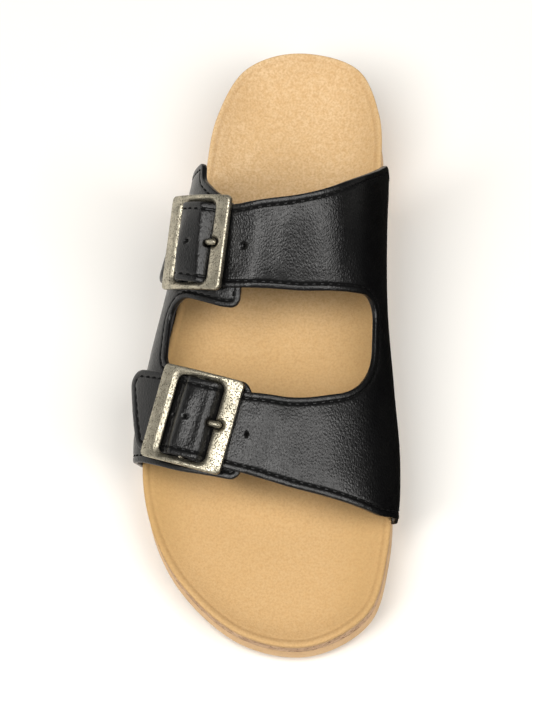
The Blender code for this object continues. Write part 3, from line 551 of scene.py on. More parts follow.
def section(y):
    """The full section at y as arrays s, x and z."""
    s_all, points = [], []
    for side in (-1, 1):
        half = half_section(y, side)
        run = run_along(half)
        turn = np.linspace(0, math.pi / 2, TURN_STEPS)[1:]
        foot = half[-1]
        bend = np.c_[foot[0] - side * TURN_RADIUS * (1 - np.cos(turn)), foot[1] - TURN_RADIUS * np.sin(turn)]
        margin = bend[-1] - np.array([side * MARGIN_REACH, 0])
        path = np.vstack([half, bend, margin])
        s = np.r_[run / run[-1] * TURN_START, np.linspace(TURN_START, TURN_END, TURN_STEPS)[1:], MARGIN_END]
        order = slice(None, 0, -1) if side < 0 else slice(None)
        s_all.append((side * s)[order])
        points.append(path[order])
    points = np.vstack(points)
    return np.concatenate(s_all), points[:, 0], points[:, 1]


class Last:
    """The last's surface as a fine grid over s and y, read anywhere with an offset along its normal."""

    def __init__(self):
        turn = np.linspace(TURN_START, TURN_END, TURN_STEPS)
        self.s = np.unique(np.r_[np.arange(-MARGIN_END, MARGIN_END + LAST_STEP, LAST_STEP), turn, -turn])
        self.y = np.arange(-LAST_END, LAST_END + LAST_STEP / 2, LAST_STEP)
        self.points = np.zeros((len(self.y), len(self.s), 3))
        for row, y in enumerate(self.y):
            s, x, z = section(y)
            self.points[row, :, 0] = np.interp(self.s, s, x)
            self.points[row, :, 1] = y
            self.points[row, :, 2] = np.interp(self.s, s, z)
        across = np.gradient(self.points, self.s, axis=1)
        along = np.gradient(self.points, self.y, axis=0)
        self.normals = unit(np.cross(across, along))

    def at(self, flat, offset=0.0):
        """Points in space for flat-pattern places (s, y), raised from the surface by offset."""
        s, y = np.asarray(flat, float).T
        i = np.clip(np.searchsorted(self.y, y) - 1, 0, len(self.y) - 2)
        j = np.clip(np.searchsorted(self.s, s) - 1, 0, len(self.s) - 2)
        v = ((y - self.y[i]) / (self.y[i + 1] - self.y[i]))[..., None]
        u = ((s - self.s[j]) / (self.s[j + 1] - self.s[j]))[..., None]

        def read(grid):
            near = grid[i, j] * (1 - u) + grid[i, j + 1] * u
            far = grid[i + 1, j] * (1 - u) + grid[i + 1, j + 1] * u
            return near * (1 - v) + far * v

        return read(self.points) + unit(read(self.normals)) * np.asarray(offset, float)[..., None]


LAST_SURFACE = Last()


def on_last(flat):
    """Flat-pattern places on the middle of the upper's wall."""
    return LAST_SURFACE.at(flat, WALL / 2)


def level(flat):
    return np.c_[flat, np.zeros(len(flat))]


# Flat outlines and their filling
def rounded_loop(rows):
    """Closed outline through corners (name, u, v, radius), each corner rounded by its own radius."""
    corners = [np.array(row[1:3], float) for row in rows]
    points = []
    for i, row in enumerate(rows):
        here = corners[i]
        before = corners[i - 1] - here
        after = corners[(i + 1) % len(rows)] - here
        if row[3] == 0:
            points.append(here)
            continue
        a = before / np.linalg.norm(before)
        b = after / np.linalg.norm(after)
        half = 0.5 * math.acos(np.clip(a @ b, -1, 1))
        longest = CORNER_SHARE * min(np.linalg.norm(before), np.linalg.norm(after))
        reach = min(row[3] / math.tan(half), longest)
        radius = reach * math.tan(half)
        middle = (a + b) / np.linalg.norm(a + b)
        centre = here + middle * math.hypot(radius, reach)
        start = here + a * reach - centre
        end = here + b * reach - centre
        turn = math.atan2(start[0] * end[1] - start[1] * end[0], start @ end)
        steps = max(2, math.ceil(abs(turn) / ARC_ANGLE))
        for t in np.linspace(0, turn, steps + 1):
            spin = np.array([[math.cos(t), -math.sin(t)], [math.sin(t), math.cos(t)]])
            points.append(centre + spin @ start)
    return np.array(points)


def around_once(count):
    """Angles of one full turn, without its end."""
    return np.linspace(0, 2 * math.pi, count, endpoint=False)


def circle(centre, radius):
    around = around_once(CIRCLE_STEPS)
    return np.asarray(centre) + radius * np.c_[np.cos(around), np.sin(around)]


def split_loop(loop, step):
    """The outline walked at an even step."""
    closed = np.vstack([loop, loop[:1]])
    run = run_along(closed)
    places = np.linspace(0, run[-1], max(LEAST_STEPS, round(run[-1] / step)), endpoint=False)
    return walked(closed, run, places)


def inside(points, loop):
    """Which points lie inside a closed outline."""
    a, b = loop, np.roll(loop, -1, axis=0)
    rise = np.where(b[:, 1] == a[:, 1], 1.0, b[:, 1] - a[:, 1])
    found = np.zeros(len(points), bool)
    for block in blocks(len(points)):
        x, y = points[block, None, 0], points[block, None, 1]
        spans = (a[:, 1] > y) != (b[:, 1] > y)
        cross_x = a[:, 0] + (y - a[:, 1]) / rise * (b[:, 0] - a[:, 0])
        found[block] = (spans & (x < cross_x)).sum(axis=1) % 2 == 1
    return found


def edge_distance(points, loop):
    """Distance from each point to a closed outline, flat or in space."""
    run = np.roll(loop, -1, axis=0) - loop
    length = np.maximum((run * run).sum(axis=1), TINY)
    out = np.empty(len(points))
    for block in blocks(len(points)):
        away = points[block, None] - loop
        t = np.clip(np.einsum("ijk,jk->ij", away, run) / length, 0, 1)
        out[block] = np.linalg.norm(away - t[..., None] * run, axis=2).min(axis=1)
    return out


def beside(loop, distance, to_space, outwards=False):
    """Points a true distance inside an outline, or outside it, left out where another stretch is nearer."""
    run = np.roll(loop, -1, axis=0) - np.roll(loop, 1, axis=0)
    normal = unit(np.c_[-run[:, 1], run[:, 0]])
    ahead = np.roll(loop, -1, axis=0)
    turn = np.sign((loop[:, 0] * ahead[:, 1] - ahead[:, 0] * loop[:, 1]).sum())
    step = normal * (-turn if outwards else turn)
    stretch = np.linalg.norm(to_space(loop + step) - to_space(loop), axis=1)
    moved = loop + step * (distance / stretch)[:, None]
    return moved[edge_distance(to_space(moved), to_space(loop)) > CLEAR_SHARE * distance]


def fill(loop, rings, spacing, to_space, holes=(), chains=(), taken=None):
    """Points and triangles over a flat outline: rings beside its edge and holes, and a grid in between."""
    fixed = [loop, *holes, *chains]
    loose = [beside(loop, distance, to_space) for distance in rings]
    low, high = loop.min(axis=0), loop.max(axis=0)
    grid = np.array([(u + 0.5 * spacing * (k % 2), v)
                     for k, v in enumerate(np.arange(low[1], high[1], spacing * HEX_ROW))
                     for u in np.arange(low[0], high[0] + spacing, spacing)])
    grid = grid[inside(grid, loop)]
    clear = edge_distance(to_space(grid), to_space(loop)) > rings[-1] + GRID_CLEAR * spacing
    for hole in holes:
        loose += [beside(hole, distance, to_space, outwards=True) for distance in HOLE_RINGS]
        clear &= edge_distance(to_space(grid), to_space(hole)) > HOLE_RINGS[-1] + HOLE_CLEAR * spacing
        clear &= ~inside(grid, hole)
    if taken is not None:
        clear &= ~taken(grid)
    points, edges = [], []
    for chain in fixed:
        first = len(points)
        points.extend(chain)
        edges.extend((first + i, first + (i + 1) % len(chain)) for i in range(len(chain)))
    points = np.vstack([points, *loose, grid[clear]])
    found = delaunay_2d_cdt([Vector(p) for p in points], edges, [], 0, WELD)
    flat = np.array([tuple(p) for p in found[0]])
    triangles = np.array([tuple(t) for t in found[2]])
    middle = flat[triangles].mean(axis=1)
    keep = inside(middle, loop)
    for hole in holes:
        keep &= ~inside(middle, hole)
    return flat, triangles[keep]


# Meshes and pieces
def close_mesh(name, points, faces):
    """A mesh in metres, in the part's frame, its faces turned outwards and shaded smooth."""
    mesh = bpy.data.meshes.new(name)
    placed = (np.asarray(points) + SHIFT) * MM
    mesh.from_pydata(placed.tolist(), [], [[int(i) for i in face] for face in faces])
    shape = bmesh.new()
    shape.from_mesh(mesh)
    bmesh.ops.recalc_face_normals(shape, faces=shape.faces)
    shape.to_mesh(mesh)
    shape.free()
    mesh.shade_smooth()
    return mesh


def slab_mesh(name, flat, triangles, top, bottom, sides=()):
    """A closed solid between two sheets over the same flat triangles, with loops of points down its sides.

    The faces come in the order top, bottom, sides.
    """
    used = np.unique(triangles)
    flat = flat[used]
    triangles = np.searchsorted(used, triangles)
    count = len(flat)
    directed = {(t[i], t[(i + 1) % 3]) for t in triangles.tolist() for i in range(3)}
    edges = [(a, b) for a, b in directed if (b, a) not in directed]
    rim = np.unique([a for a, _ in edges])
    points = [top(flat), bottom(flat), *(side(flat[rim]) for side in sides)]
    ladder = [np.arange(count)]
    for k in range(len(sides)):
        row = np.zeros(count, int)
        row[rim] = 2 * count + k * len(rim) + np.arange(len(rim))
        ladder.append(row)
    ladder.append(count + np.arange(count))
    faces = [*triangles, *(triangles[:, ::-1] + count)]
    for upper, lower in zip(ladder, ladder[1:]):
        faces += [(upper[b], upper[a], lower[a], lower[b]) for a, b in edges]
    return close_mesh(name, np.vstack(points), faces)


def tube_faces(rings, sides):
    """Faces of a closed tube whose points come ring by ring."""
    last = (rings - 1) * sides
    faces = []
    for first in range(0, last, sides):
        for i in range(sides):
            j = (i + 1) % sides
            faces.append((first + i, first + j, first + sides + j, first + sides + i))
    return [*faces, tuple(range(sides))[::-1], tuple(range(last, last + sides))]


def between(top, bottom, shares):
    """Loops for a solid's sides, each at its share of the way from top to bottom."""
    return [lambda p, share=share: top(p) * (1 - share) + bottom(p) * share for share in shares]


def add_object(name, data):
    made = bpy.data.objects.new(name, data)
    bpy.context.scene.collection.objects.link(made)
    return made


def add_piece(name, mesh, materials, replaced=()):
    """A piece of the shoe, riding on its one body."""
    piece = add_object(name, mesh)
    for material in materials:
        mesh.materials.append(material)
    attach(piece, "root")
    if replaced:
        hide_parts(*replaced)
    return piece


# Materials
def linear(red, green, blue):
    """A screen colour from 0 to 255 as the shader's own values, by the sRGB curve."""
    share = np.array([red, green, blue]) / 255
    low = share / 12.92
    high = ((share + 0.055) / 1.055) ** 2.4
    return (*np.where(share <= 0.04045, low, high), 1.0)


class Look:
    """A procedural material whose textures are laid out in the shoe's own millimetres."""

    def __init__(self, name, values):
        self.material = bpy.data.materials.new(name)
        self.material.use_nodes = True
        self.tree = self.material.node_tree
        self.shader = self.tree.nodes["Principled BSDF"]
        for socket, value in values.items():
            self.shader.inputs[socket].default_value = value
        self.place = self.stretched((1.0, 1.0, 1.0))
        self.normal = None

    def node(self, kind, **settings):
        made = self.tree.nodes.new(kind)
        for name, value in settings.items():
            setattr(made, name, value)
        return made

    def link(self, source, target):
        self.tree.links.new(source, target)

    def stretched(self, shares):
        """The piece's own place in millimetres, drawn out along its axes."""
        coordinates = self.node("ShaderNodeTexCoord")
        scale = self.node("ShaderNodeVectorMath", operation="MULTIPLY")
        scale.inputs[1].default_value = [share / MM for share in shares]
        self.link(coordinates.outputs["Object"], scale.inputs[0])
        return scale.outputs[0]

    def coordinate(self, axis):
        """Place along one of the shoe's axes in millimetres."""
        parts = self.node("ShaderNodeSeparateXYZ")
        self.link(self.place, parts.inputs[0])
        return parts.outputs[axis]

    def noise(self, size, detail=2.0, place=None):
        made = self.node("ShaderNodeTexNoise")
        made.inputs["Scale"].default_value = 1 / size
        made.inputs["Detail"].default_value = detail
        self.link(place or self.place, made.inputs["Vector"])
        return made.outputs[0]

    def cells(self, size, feature="DISTANCE_TO_EDGE", output="Distance", place=None):
        made = self.node("ShaderNodeTexVoronoi", feature=feature)
        made.inputs["Scale"].default_value = 1 / size
        self.link(place or self.place, made.inputs["Vector"])
        return made.outputs[output]

    def ranged(self, source, low, high, start=0.0, end=1.0):
        """The source's span from low to high, brought to the span from start to end."""
        made = self.node("ShaderNodeMapRange")
        self.link(source, made.inputs[0])
        for socket, value in zip(made.inputs[1:5], (low, high, start, end)):
            socket.default_value = value
        return made.outputs[0]

    def mixed(self, share, first, second):
        """Two colours, or a socket and a colour, mixed by a share."""
        made = self.node("ShaderNodeMix", data_type="RGBA")
        self.link(share, made.inputs[0])
        for socket, colour in ((made.inputs[6], first), (made.inputs[7], second)):
            if isinstance(colour, tuple):
                socket.default_value = colour
            else:
                self.link(colour, socket)
        return made.outputs[2]

    def set(self, socket, source):
        self.link(source, self.shader.inputs[socket])

    def relief(self, height, depth):
        """One more layer of bump, depth millimetres high where the height is 1."""
        bump = self.node("ShaderNodeBump")
        bump.inputs["Strength"].default_value = 1.0
        bump.inputs["Distance"].default_value = depth * MM
        self.link(height, bump.inputs["Height"])
        if self.normal:
            self.link(self.normal, bump.inputs["Normal"])
        self.normal = bump.outputs[0]
        self.link(self.normal, self.shader.inputs["Normal"])


def leather_look():
    """Black grained leather: small pebbles, finer creases between them and a soft satin gloss."""
    look = Look("leather_black", {"Specular IOR Level": 0.38})
    tone = look.ranged(look.noise(16.0, 4.0), 0.35, 0.65)
    look.set("Base Color", look.mixed(tone, linear(8, 8, 9), linear(14, 14, 14)))
    look.set("Roughness", look.ranged(look.noise(3.0, 3.0), 0.3, 0.7, 0.28, 0.36))
    drawn = look.stretched((1.25, 0.8, 1.0))
    look.relief(look.noise(11.0, 2.0), 0.05)
    look.relief(look.cells(1.3, place=drawn), 0.16)
    look.relief(look.noise(0.9, 2.0, drawn), 0.05)
    return look.material


def lining_look():
    """Dark fabric on the inside of the upper."""
    look = Look("lining_charcoal", {"Roughness": 0.95, "Specular IOR Level": 0.2, "Sheen Weight": 0.2})
    tone = look.ranged(look.noise(1.2, 3.0), 0.3, 0.7)
    look.set("Base Color", look.mixed(tone, linear(24, 24, 25), linear(40, 40, 41)))
    look.relief(look.noise(0.5, 2.0), 0.12)
    return look.material


def thread_look():
    """Black sewing thread with its twist."""
    look = Look("thread_black", {"Roughness": 0.9, "Specular IOR Level": 0.15})
    tone = look.ranged(look.noise(0.4), 0.3, 0.7)
    look.set("Base Color", look.mixed(tone, linear(6, 6, 6), linear(13, 13, 13)))
    look.relief(look.noise(0.28, 1.0), 0.08)
    return look.material


def suede_look():
    """Tan suede: mottled nap with fine darker and lighter hairs, and painted shade in a deeper colour towards
    the toe and near both side rims.
    """
    look = Look("suede_tan", {"Roughness": 0.96, "Specular IOR Level": 0.12, "Sheen Weight": 0.15,
                              "Sheen Roughness": 0.45, "Sheen Tint": linear(255, 226, 186)})
    broad = look.ranged(look.noise(34.0, 3.0), 0.32, 0.68)
    patches = look.mixed(broad, linear(220, 188, 144), linear(229, 199, 157))
    # Painted shade: deeper colours towards the toe and near both side rims stand in for the shade on the
    # bowl's slopes and under the straps.
    toe = look.ranged(look.coordinate("Y"), *SUEDE_SHADE_Y, 0.8, 0.0)
    lateral = look.ranged(look.coordinate("X"), *SUEDE_SHADE_LATERAL_X, 0.5, 0.0)
    medial = look.ranged(look.coordinate("X"), *SUEDE_SHADE_MEDIAL_X, 0.0, 0.3)
    body = look.mixed(toe, patches, linear(206, 168, 116))
    for share in (lateral, medial):
        body = look.mixed(share, body, linear(179, 142, 82))
    mottle = look.ranged(look.noise(2.2, 4.0), 0.36, 0.70, 0.0, 0.5)
    body = look.mixed(mottle, body, linear(208, 168, 115))
    hairs = look.ranged(look.noise(0.9, 6.0), 0.40, 0.68, 0.0, 0.60)
    look.set("Base Color", look.mixed(hairs, body, linear(190, 150, 100)))
    look.relief(look.noise(1.6, 3.0), 0.14)
    look.relief(look.noise(0.45, 2.0), 0.10)
    return look.material


def cork_look():
    """Pressed cork: grains of several browns with dark specks and pits."""
    look = Look("cork_pressed", {"Roughness": 0.92, "Specular IOR Level": 0.2})
    grain = look.ranged(look.cells(2.6, "F1", "Color"), 0.1, 0.9)
    body = look.mixed(grain, linear(178, 142, 112), linear(214, 180, 146))
    specks = look.ranged(look.noise(1.5, 4.0), 0.58, 0.66)
    look.set("Base Color", look.mixed(specks, body, linear(128, 94, 68)))
    look.relief(look.cells(2.6), 0.25)
    look.relief(look.noise(0.9, 3.0), 0.25)
    return look.material


def foam_look():
    """Tan moulded sole foam with a fine skin."""
    look = Look("sole_foam_tan", {"Roughness": 0.78, "Specular IOR Level": 0.3})
    tone = look.ranged(look.noise(7.0, 4.0), 0.3, 0.7)
    body = look.mixed(tone, linear(214, 176, 130), linear(226, 190, 146))
    specks = look.ranged(look.noise(0.8, 2.0), 0.60, 0.74, 0.0, 0.5)
    look.set("Base Color", look.mixed(specks, body, linear(176, 136, 96)))
    look.relief(look.noise(0.55, 2.0), 0.12)
    look.relief(look.noise(3.5, 2.0), 0.12)
    return look.material


def pewter_look():
    """Aged cast pewter: cloudy grey, small dark pits and a worn, uneven gloss."""
    look = Look("pewter_aged", {"Metallic": 1.0})
    cloud = look.ranged(look.noise(5.0, 4.0), 0.32, 0.68)
    body = look.mixed(cloud, linear(152, 147, 131), linear(195, 187, 167))
    pits = look.ranged(look.noise(0.6, 3.0), 0.53, 0.63, 0.0, 0.85)
    look.set("Base Color", look.mixed(pits, body, linear(76, 71, 60)))
    look.set("Roughness", look.ranged(look.noise(1.4, 3.0), 0.3, 0.7, 0.32, 0.48))
    look.relief(look.ranged(look.noise(0.6, 3.0), 0.53, 0.66, 1.0, 0.0), 0.08)
    look.relief(look.noise(3.0, 3.0), 0.10)
    return look.material


# Sole
def bowl_share(flat):
    """Spine point, share of the way out to the rim, side and the rim's Y there, for footbed places."""
    x, y = flat[:, 0], flat[:, 1]
    spine_y = np.clip(y, SPINE_FRONT, SPINE_REAR)
    spine_x = spine_at(spine_y)
    side = np.where(x >= spine_x, 1, -1)
    edge_x = np.where(side > 0, rim_x(y, 1), rim_x(y, -1))
    share = np.abs(x - spine_x) / np.abs(edge_x - spine_x)
    edge_y = y.copy()
    for end_y, beyond in ((SPINE_FRONT, y < SPINE_FRONT), (SPINE_REAR, y > SPINE_REAR)):
        centre = np.array([spine_at(end_y), end_y])
        around = RIM - centre
        angle = np.arctan2(around[:, 1], around[:, 0])
        order = np.argsort(angle)
        out = flat[beyond] - centre
        reach = np.interp(np.arctan2(out[:, 1], out[:, 0]), angle[order],
                          np.linalg.norm(around, axis=1)[order], period=2 * math.pi)
        share[beyond] = np.linalg.norm(out, axis=1) / reach
        edge_y[beyond] = end_y + out[:, 1] / np.maximum(share[beyond], TINY)
    return np.c_[spine_x, spine_y], np.clip(share, 0, 1), side, edge_y


def footbed_height(flat):
    """Height of the footbed's upper skin, without the line at the foot of its rim."""
    spine, share, side, edge_y = bowl_share(flat)
    rim = footbed_side("rim", side, edge_y)
    power = footbed_side("bowl", side, edge_y)
    bed = footbed_row("bed", spine[:, 1])
    height = bed + (rim - bed) * share ** power
    x, y = flat[:, 0], flat[:, 1]
    bar_y = TOE_BAR_Y + TOE_BAR_CURVE * (x - TOE_BAR_X) ** 2
    height += TOE_BAR * bell(y, bar_y, TOE_BAR_LENGTH) * (1 - share ** 4)
    height += PAD * bell(y, PAD_Y, PAD_LENGTH) * (1 - share ** 2)
    return height - rounded(edge_distance(flat, RIM), RIM_ROUND)


def drawn_in(flat, distance):
    """The same places drawn in towards the spine, by distance at the rim."""
    spine, share, _, _ = bowl_share(flat)
    out = flat - spine
    reach = np.linalg.norm(out, axis=1) / np.maximum(share, TINY)
    return flat - out * (distance / np.maximum(reach, TINY))[:, None]


def ground_height(y):
    """Height of the outsole's underside: flat at heel and forefoot, lifted at the waist, toe and heel end."""
    along = along_of(y)
    waist = ramp(along, WAIST_START, WAIST_END)
    heel = 1 - ramp(along, 0, HEEL_BEVEL_END)
    return toe_spring(y) + WAIST_RELIEF * np.sin(math.pi * waist) ** 2 + HEEL_BEVEL * heel ** 2


def margin_room(flat):
    """How far the cork's underside is cut back over the upper's turned-in margin."""
    y = flat[:, 1]
    medial = flat[:, 0] > 0
    front, rear = (np.where(medial, *ends) for ends in zip(MARGIN_MEDIAL, MARGIN_LATERAL))
    outside = np.maximum(front - y, y - rear)
    length = np.clip(1 - (outside - GAP) / MARGIN_RAMP, 0, 1)
    return (WALL + GAP) * length * ramp(edge_distance(flat, RIM), RECESS[1], RECESS[0])


def make_footbed():
    flat, triangles = fill(RIM, RIM_RINGS, FOOTBED_SPACING, level)

    def top(p):
        line = RIM_LINE * bell(edge_distance(p, RIM), RIM_LINE_AT, RIM_LINE_WIDTH)
        return np.c_[p, footbed_height(p) - line]

    def bottom(p):
        return np.c_[p, footbed_height(p) - LINING]

    mesh = slab_mesh("footbed_suede", flat, triangles, top, bottom)
    add_piece("footbed_suede", mesh, [suede_look()], ["footbed_lining"])


def make_cork():
    flat, triangles = fill(RIM, SOLE_RINGS, CORK_SPACING, level)

    def top(p):
        return np.c_[p, footbed_height(p) - LINING - GAP]

    def bottom(p):
        return np.c_[drawn_in(p, CORK_TAPER), joint_height(p[:, 1]) + GAP / 2 + margin_room(p)]

    sides = between(top, bottom, CORK_SIDES)
    mesh = slab_mesh("footbed_cork_layer", flat, triangles, top, bottom, sides)
    add_piece("footbed_cork_layer", mesh, [cork_look()], ["footbed_cork"])


def wave(x):
    return GROOVE_WAVE * np.sin(2 * math.pi * x / GROOVE_WAVE_LENGTH)


def tread_grooves():
    """Outlines of the wavy grooves under the sole: each at the tread's surface and at the groove's floor."""
    grooves = []
    for y in np.arange(-SOLE_LENGTH / 2, SOLE_LENGTH / 2, GROOVE_PITCH):
        x = np.arange(-BALL_WIDTH, BALL_WIDTH, TREAD_STEP)
        line = np.c_[x, y + wave(x)]
        line = line[inside(line, RIM) & (edge_distance(line, RIM) > TREAD_BORDER)]
        if len(line) < TREAD_LEAST:
            continue
        pair = []
        for half in (GROOVE_TOP, GROOVE_FLOOR):
            tip = np.array([half, 0.0])
            up = np.array([0.0, half])
            pair.append(np.vstack([line + up, line[-1:] + tip, line[::-1] - up, line[:1] - tip]))
        grooves.append(pair)
    return grooves


def in_groove(flat):
    """Which places lie in a groove or close beside it."""
    rows = (flat[:, 1] - wave(flat[:, 0]) + SOLE_LENGTH / 2) / GROOVE_PITCH
    return np.abs(rows - np.round(rows)) * GROOVE_PITCH < 2 * GROOVE_TOP


def keyed(flat):
    """Places rounded so that they can be looked up."""
    return [(round(x, KEY_DIGITS), round(y, KEY_DIGITS)) for x, y in flat]


def make_outsole():
    grooves = tread_grooves()
    chains = [loop for pair in grooves for loop in pair]
    flat, triangles = fill(RIM, SOLE_RINGS, OUTSOLE_SPACING, level, chains=chains, taken=in_groove)
    floors = {key for _, floor in grooves for key in keyed(floor)}

    def bottom(p):
        edge = rounded(edge_distance(p, RIM), OUTSOLE_ROUND)
        sunk = np.array([key in floors for key in keyed(p)])
        height = ground_height(p[:, 1]) + edge + GROOVE_DEPTH * sunk
        return np.c_[drawn_in(p, CORK_TAPER - OUTSOLE_FLARE), height]

    def top(p):
        return np.c_[drawn_in(p, CORK_TAPER), joint_height(p[:, 1]) - GAP / 2]

    sides = between(top, bottom, OUTSOLE_SIDES)
    mesh = slab_mesh("outsole_tread", flat, triangles, top, bottom, sides)
    mesh.set_sharp_from_angle(angle=SHARP_ANGLE)
    add_piece("outsole_tread", mesh, [foam_look()], ["outsole"])


# Buckles: p runs along the strap towards the medial side, q across it towards the heel, n outwards
class Buckle:
    """A buckle's place on its strap, with its own axes and its seat over the last."""

    def __init__(self, name, s, y, lean, tip_rear, tip_front, flare, punches):
        self.name = name
        self.tip_rear = tip_rear
        self.tip_front = tip_front
        self.flare = flare
        self.punches = punches
        self.flat = np.array([s, y])
        self.centre = LAST_SURFACE.at(self.flat)
        turn = math.radians(lean)
        along = np.array([math.cos(turn), -math.sin(turn)])
        across = np.array([math.sin(turn), math.cos(turn)])
        run = self.chord(along * WINDOW_P) / (2 * WINDOW_P)
        side = self.chord(across * WINDOW_Q) / (2 * WINDOW_Q)
        stretch = np.linalg.norm(run)
        normal = np.cross(run, side)
        normal = normal / np.linalg.norm(normal)
        self.axes = np.array([run / stretch, np.cross(normal, run / stretch), normal])
        shear = side @ self.axes[0] / stretch
        self.along = along / stretch
        self.across = (across - along * shear) / (side @ self.axes[1])
        self.base = self.seat()
        under_strap = self.local(self.samples(*BAR_SPAN, STRAP_HALF), 0.0)
        self.bump = self.base + BUMP_LEVEL - under_strap[:, 2].min()

    def chord(self, reach):
        """Straight line over the last between two flat places either side of the middle."""
        return LAST_SURFACE.at(self.flat + reach) - LAST_SURFACE.at(self.flat - reach)

    def pattern(self, p, q):
        """Flat-pattern place of a point on the strap."""
        return self.flat + self.along * p + self.across * q

    def strap_place(self, flat):
        """The reverse of pattern: distance along the strap for flat-pattern places."""
        return np.linalg.solve(np.c_[self.along, self.across], (flat - self.flat).T)[0]

    def samples(self, start, end, half):
        """Flat-pattern places spread over a stretch of the strap."""
        p, q = np.meshgrid(np.linspace(start, end, SEAT_STEPS[0]), np.linspace(-half, half, SEAT_STEPS[1]))
        return np.array([self.pattern(a, b) for a, b in zip(p.ravel(), q.ravel())])

    def local(self, flat, offset):
        """Points over the last, in the buckle's own axes."""
        return (LAST_SURFACE.at(flat, offset) - self.centre) @ self.axes.T

    def seat(self):
        """Height of the frame's underside so that its bars clear the strap and its centre bar the tab."""
        heights = []
        for start, end in ((WINDOW_P, FRAME_P), (-FRAME_P, -WINDOW_P)):
            strap = self.local(self.samples(start, end, STRAP_HALF), STRAP_REST + WALL)
            bend = np.sqrt(BEND_RADIUS ** 2 - strap[:, 0] ** 2) - BEND_RADIUS
            heights.append((strap[:, 2] - bend).max() + GAP)
        tab = self.local(self.samples(*BAR_SPAN, FRAME_Q), WALL)
        heights.append(tab[:, 2].max() + GAP - BAR_BOTTOM)
        return max(heights)

    def place(self, points):
        """Points (p, q, n) bent with the frame and set on the last."""
        p, q, n = np.array(points, float).T
        radius = BEND_RADIUS + n
        bent = np.c_[radius * np.sin(p / BEND_RADIUS), q,
                     radius * np.cos(p / BEND_RADIUS) - BEND_RADIUS + self.base]
        return self.centre + bent @ self.axes


def medial_side(half_p, straight, reach):
    """A loop's medial side from toe end to heel end, dipping into the prong's notch if it has a reach."""
    half = NOTCH_HALF + (reach or 0.0)
    turn = np.linspace(0, math.pi, NOTCH_STEPS)
    dip = NOTCH_P + half * np.sin(turn) if reach is not None else np.full(len(turn), half_p)
    side = np.linspace(half, straight, MEDIAL_STEPS)
    before = [(half_p, -q) for q in side[::-1]]
    after = [(half_p, q) for q in side]
    return before + [(p, -half * math.cos(t)) for p, t in zip(dip, turn)] + after


def frame_loop(half_p, half_q, radius, reach=None):
    """Rounded rectangle of points (p, q) with the same count for every size."""
    straight_p, straight_q = half_p - radius, half_q - radius
    arc = np.linspace(0, math.pi / 2, CORNER_STEPS)[1:-1]
    points = medial_side(half_p, straight_q, reach)
    sides = (
        # corner's signs, start and end of the straight side after it
        (1, 1, (straight_p, half_q), (-straight_p, half_q)),
        (-1, 1, (-half_p, straight_q), (-half_p, -straight_q)),
        (-1, -1, (-straight_p, -half_q), (straight_p, -half_q)),
        (1, -1, None, None),
    )
    for sign_p, sign_q, start, end in sides:
        corner = [(sign_p * (straight_p + radius * math.cos(t)), sign_q * (straight_q + radius * math.sin(t)))
                  for t in arc]
        points += corner if sign_p == sign_q else corner[::-1]
        if start:
            points += [tuple(point) for point in np.linspace(start, end, FRAME_STEPS)]
    return points


def make_frame(buckle, metal):
    """A frame with rounded outer edges, a bevelled window, the prong's notch and the bar under the strap."""
    name = "pewter_frame_" + buckle.name
    loops = []
    for _, inwards, n in OUTER_PROFILE:
        loop = frame_loop(FRAME_P - inwards, FRAME_Q - inwards, FRAME_CORNER - inwards / 2)
        loops.append([(p, q, n) for p, q in loop])
    for _, outwards, n in INNER_PROFILE:
        loop = frame_loop(WINDOW_P + outwards, WINDOW_Q + outwards, WINDOW_CORNER + outwards / 2, outwards)
        loops.append([(p, q, n) for p, q in loop])
    count = len(loops[0])
    points = buckle.place([point for loop in loops for point in loop])
    faces = []
    for k in range(len(loops)):
        a, b = k * count, (k + 1) % len(loops) * count
        for i in range(count):
            j = (i + 1) % count
            faces.append((a + i, a + j, b + j, b + i))
    staple = [(-LUG_OUT, LUG_TOP), (-LUG_OUT, BAR_LOW), (LUG_OUT, BAR_LOW), (LUG_OUT, LUG_TOP),
              (LUG_IN, LUG_TOP), (LUG_IN, BAR_HIGH), (-LUG_IN, BAR_HIGH), (-LUG_IN, LUG_TOP)]
    bar_points = buckle.place([(p, q, n) for p in (-BAR_HALF, BAR_HALF) for q, n in staple])
    size = len(staple)
    bar_faces = [tuple(range(size)), tuple(range(2 * size - 1, size - 1, -1))]
    bar_faces += [(i, i + size, (i + 1) % size + size, (i + 1) % size) for i in range(size)]
    mesh = united(close_mesh(name, points, faces), close_mesh("bar", bar_points, bar_faces))
    mesh.name = name
    mesh.shade_smooth()
    mesh.set_sharp_from_angle(angle=SHARP_ANGLE)
    add_piece(name, mesh, [metal], ["buckle_frame_" + buckle.name])


def united(first, second):
    """One mesh from two closed ones that overlap."""
    pair = [add_object(mesh.name, mesh) for mesh in (first, second)]
    change = pair[0].modifiers.new("union", "BOOLEAN")
    change.operation = "UNION"
    change.solver = "EXACT"
    change.object = pair[1]
    ready = bpy.context.evaluated_depsgraph_get()
    mesh = bpy.data.meshes.new_from_object(pair[0].evaluated_get(ready))
    for each in pair:
        bpy.data.objects.remove(each)
    return mesh


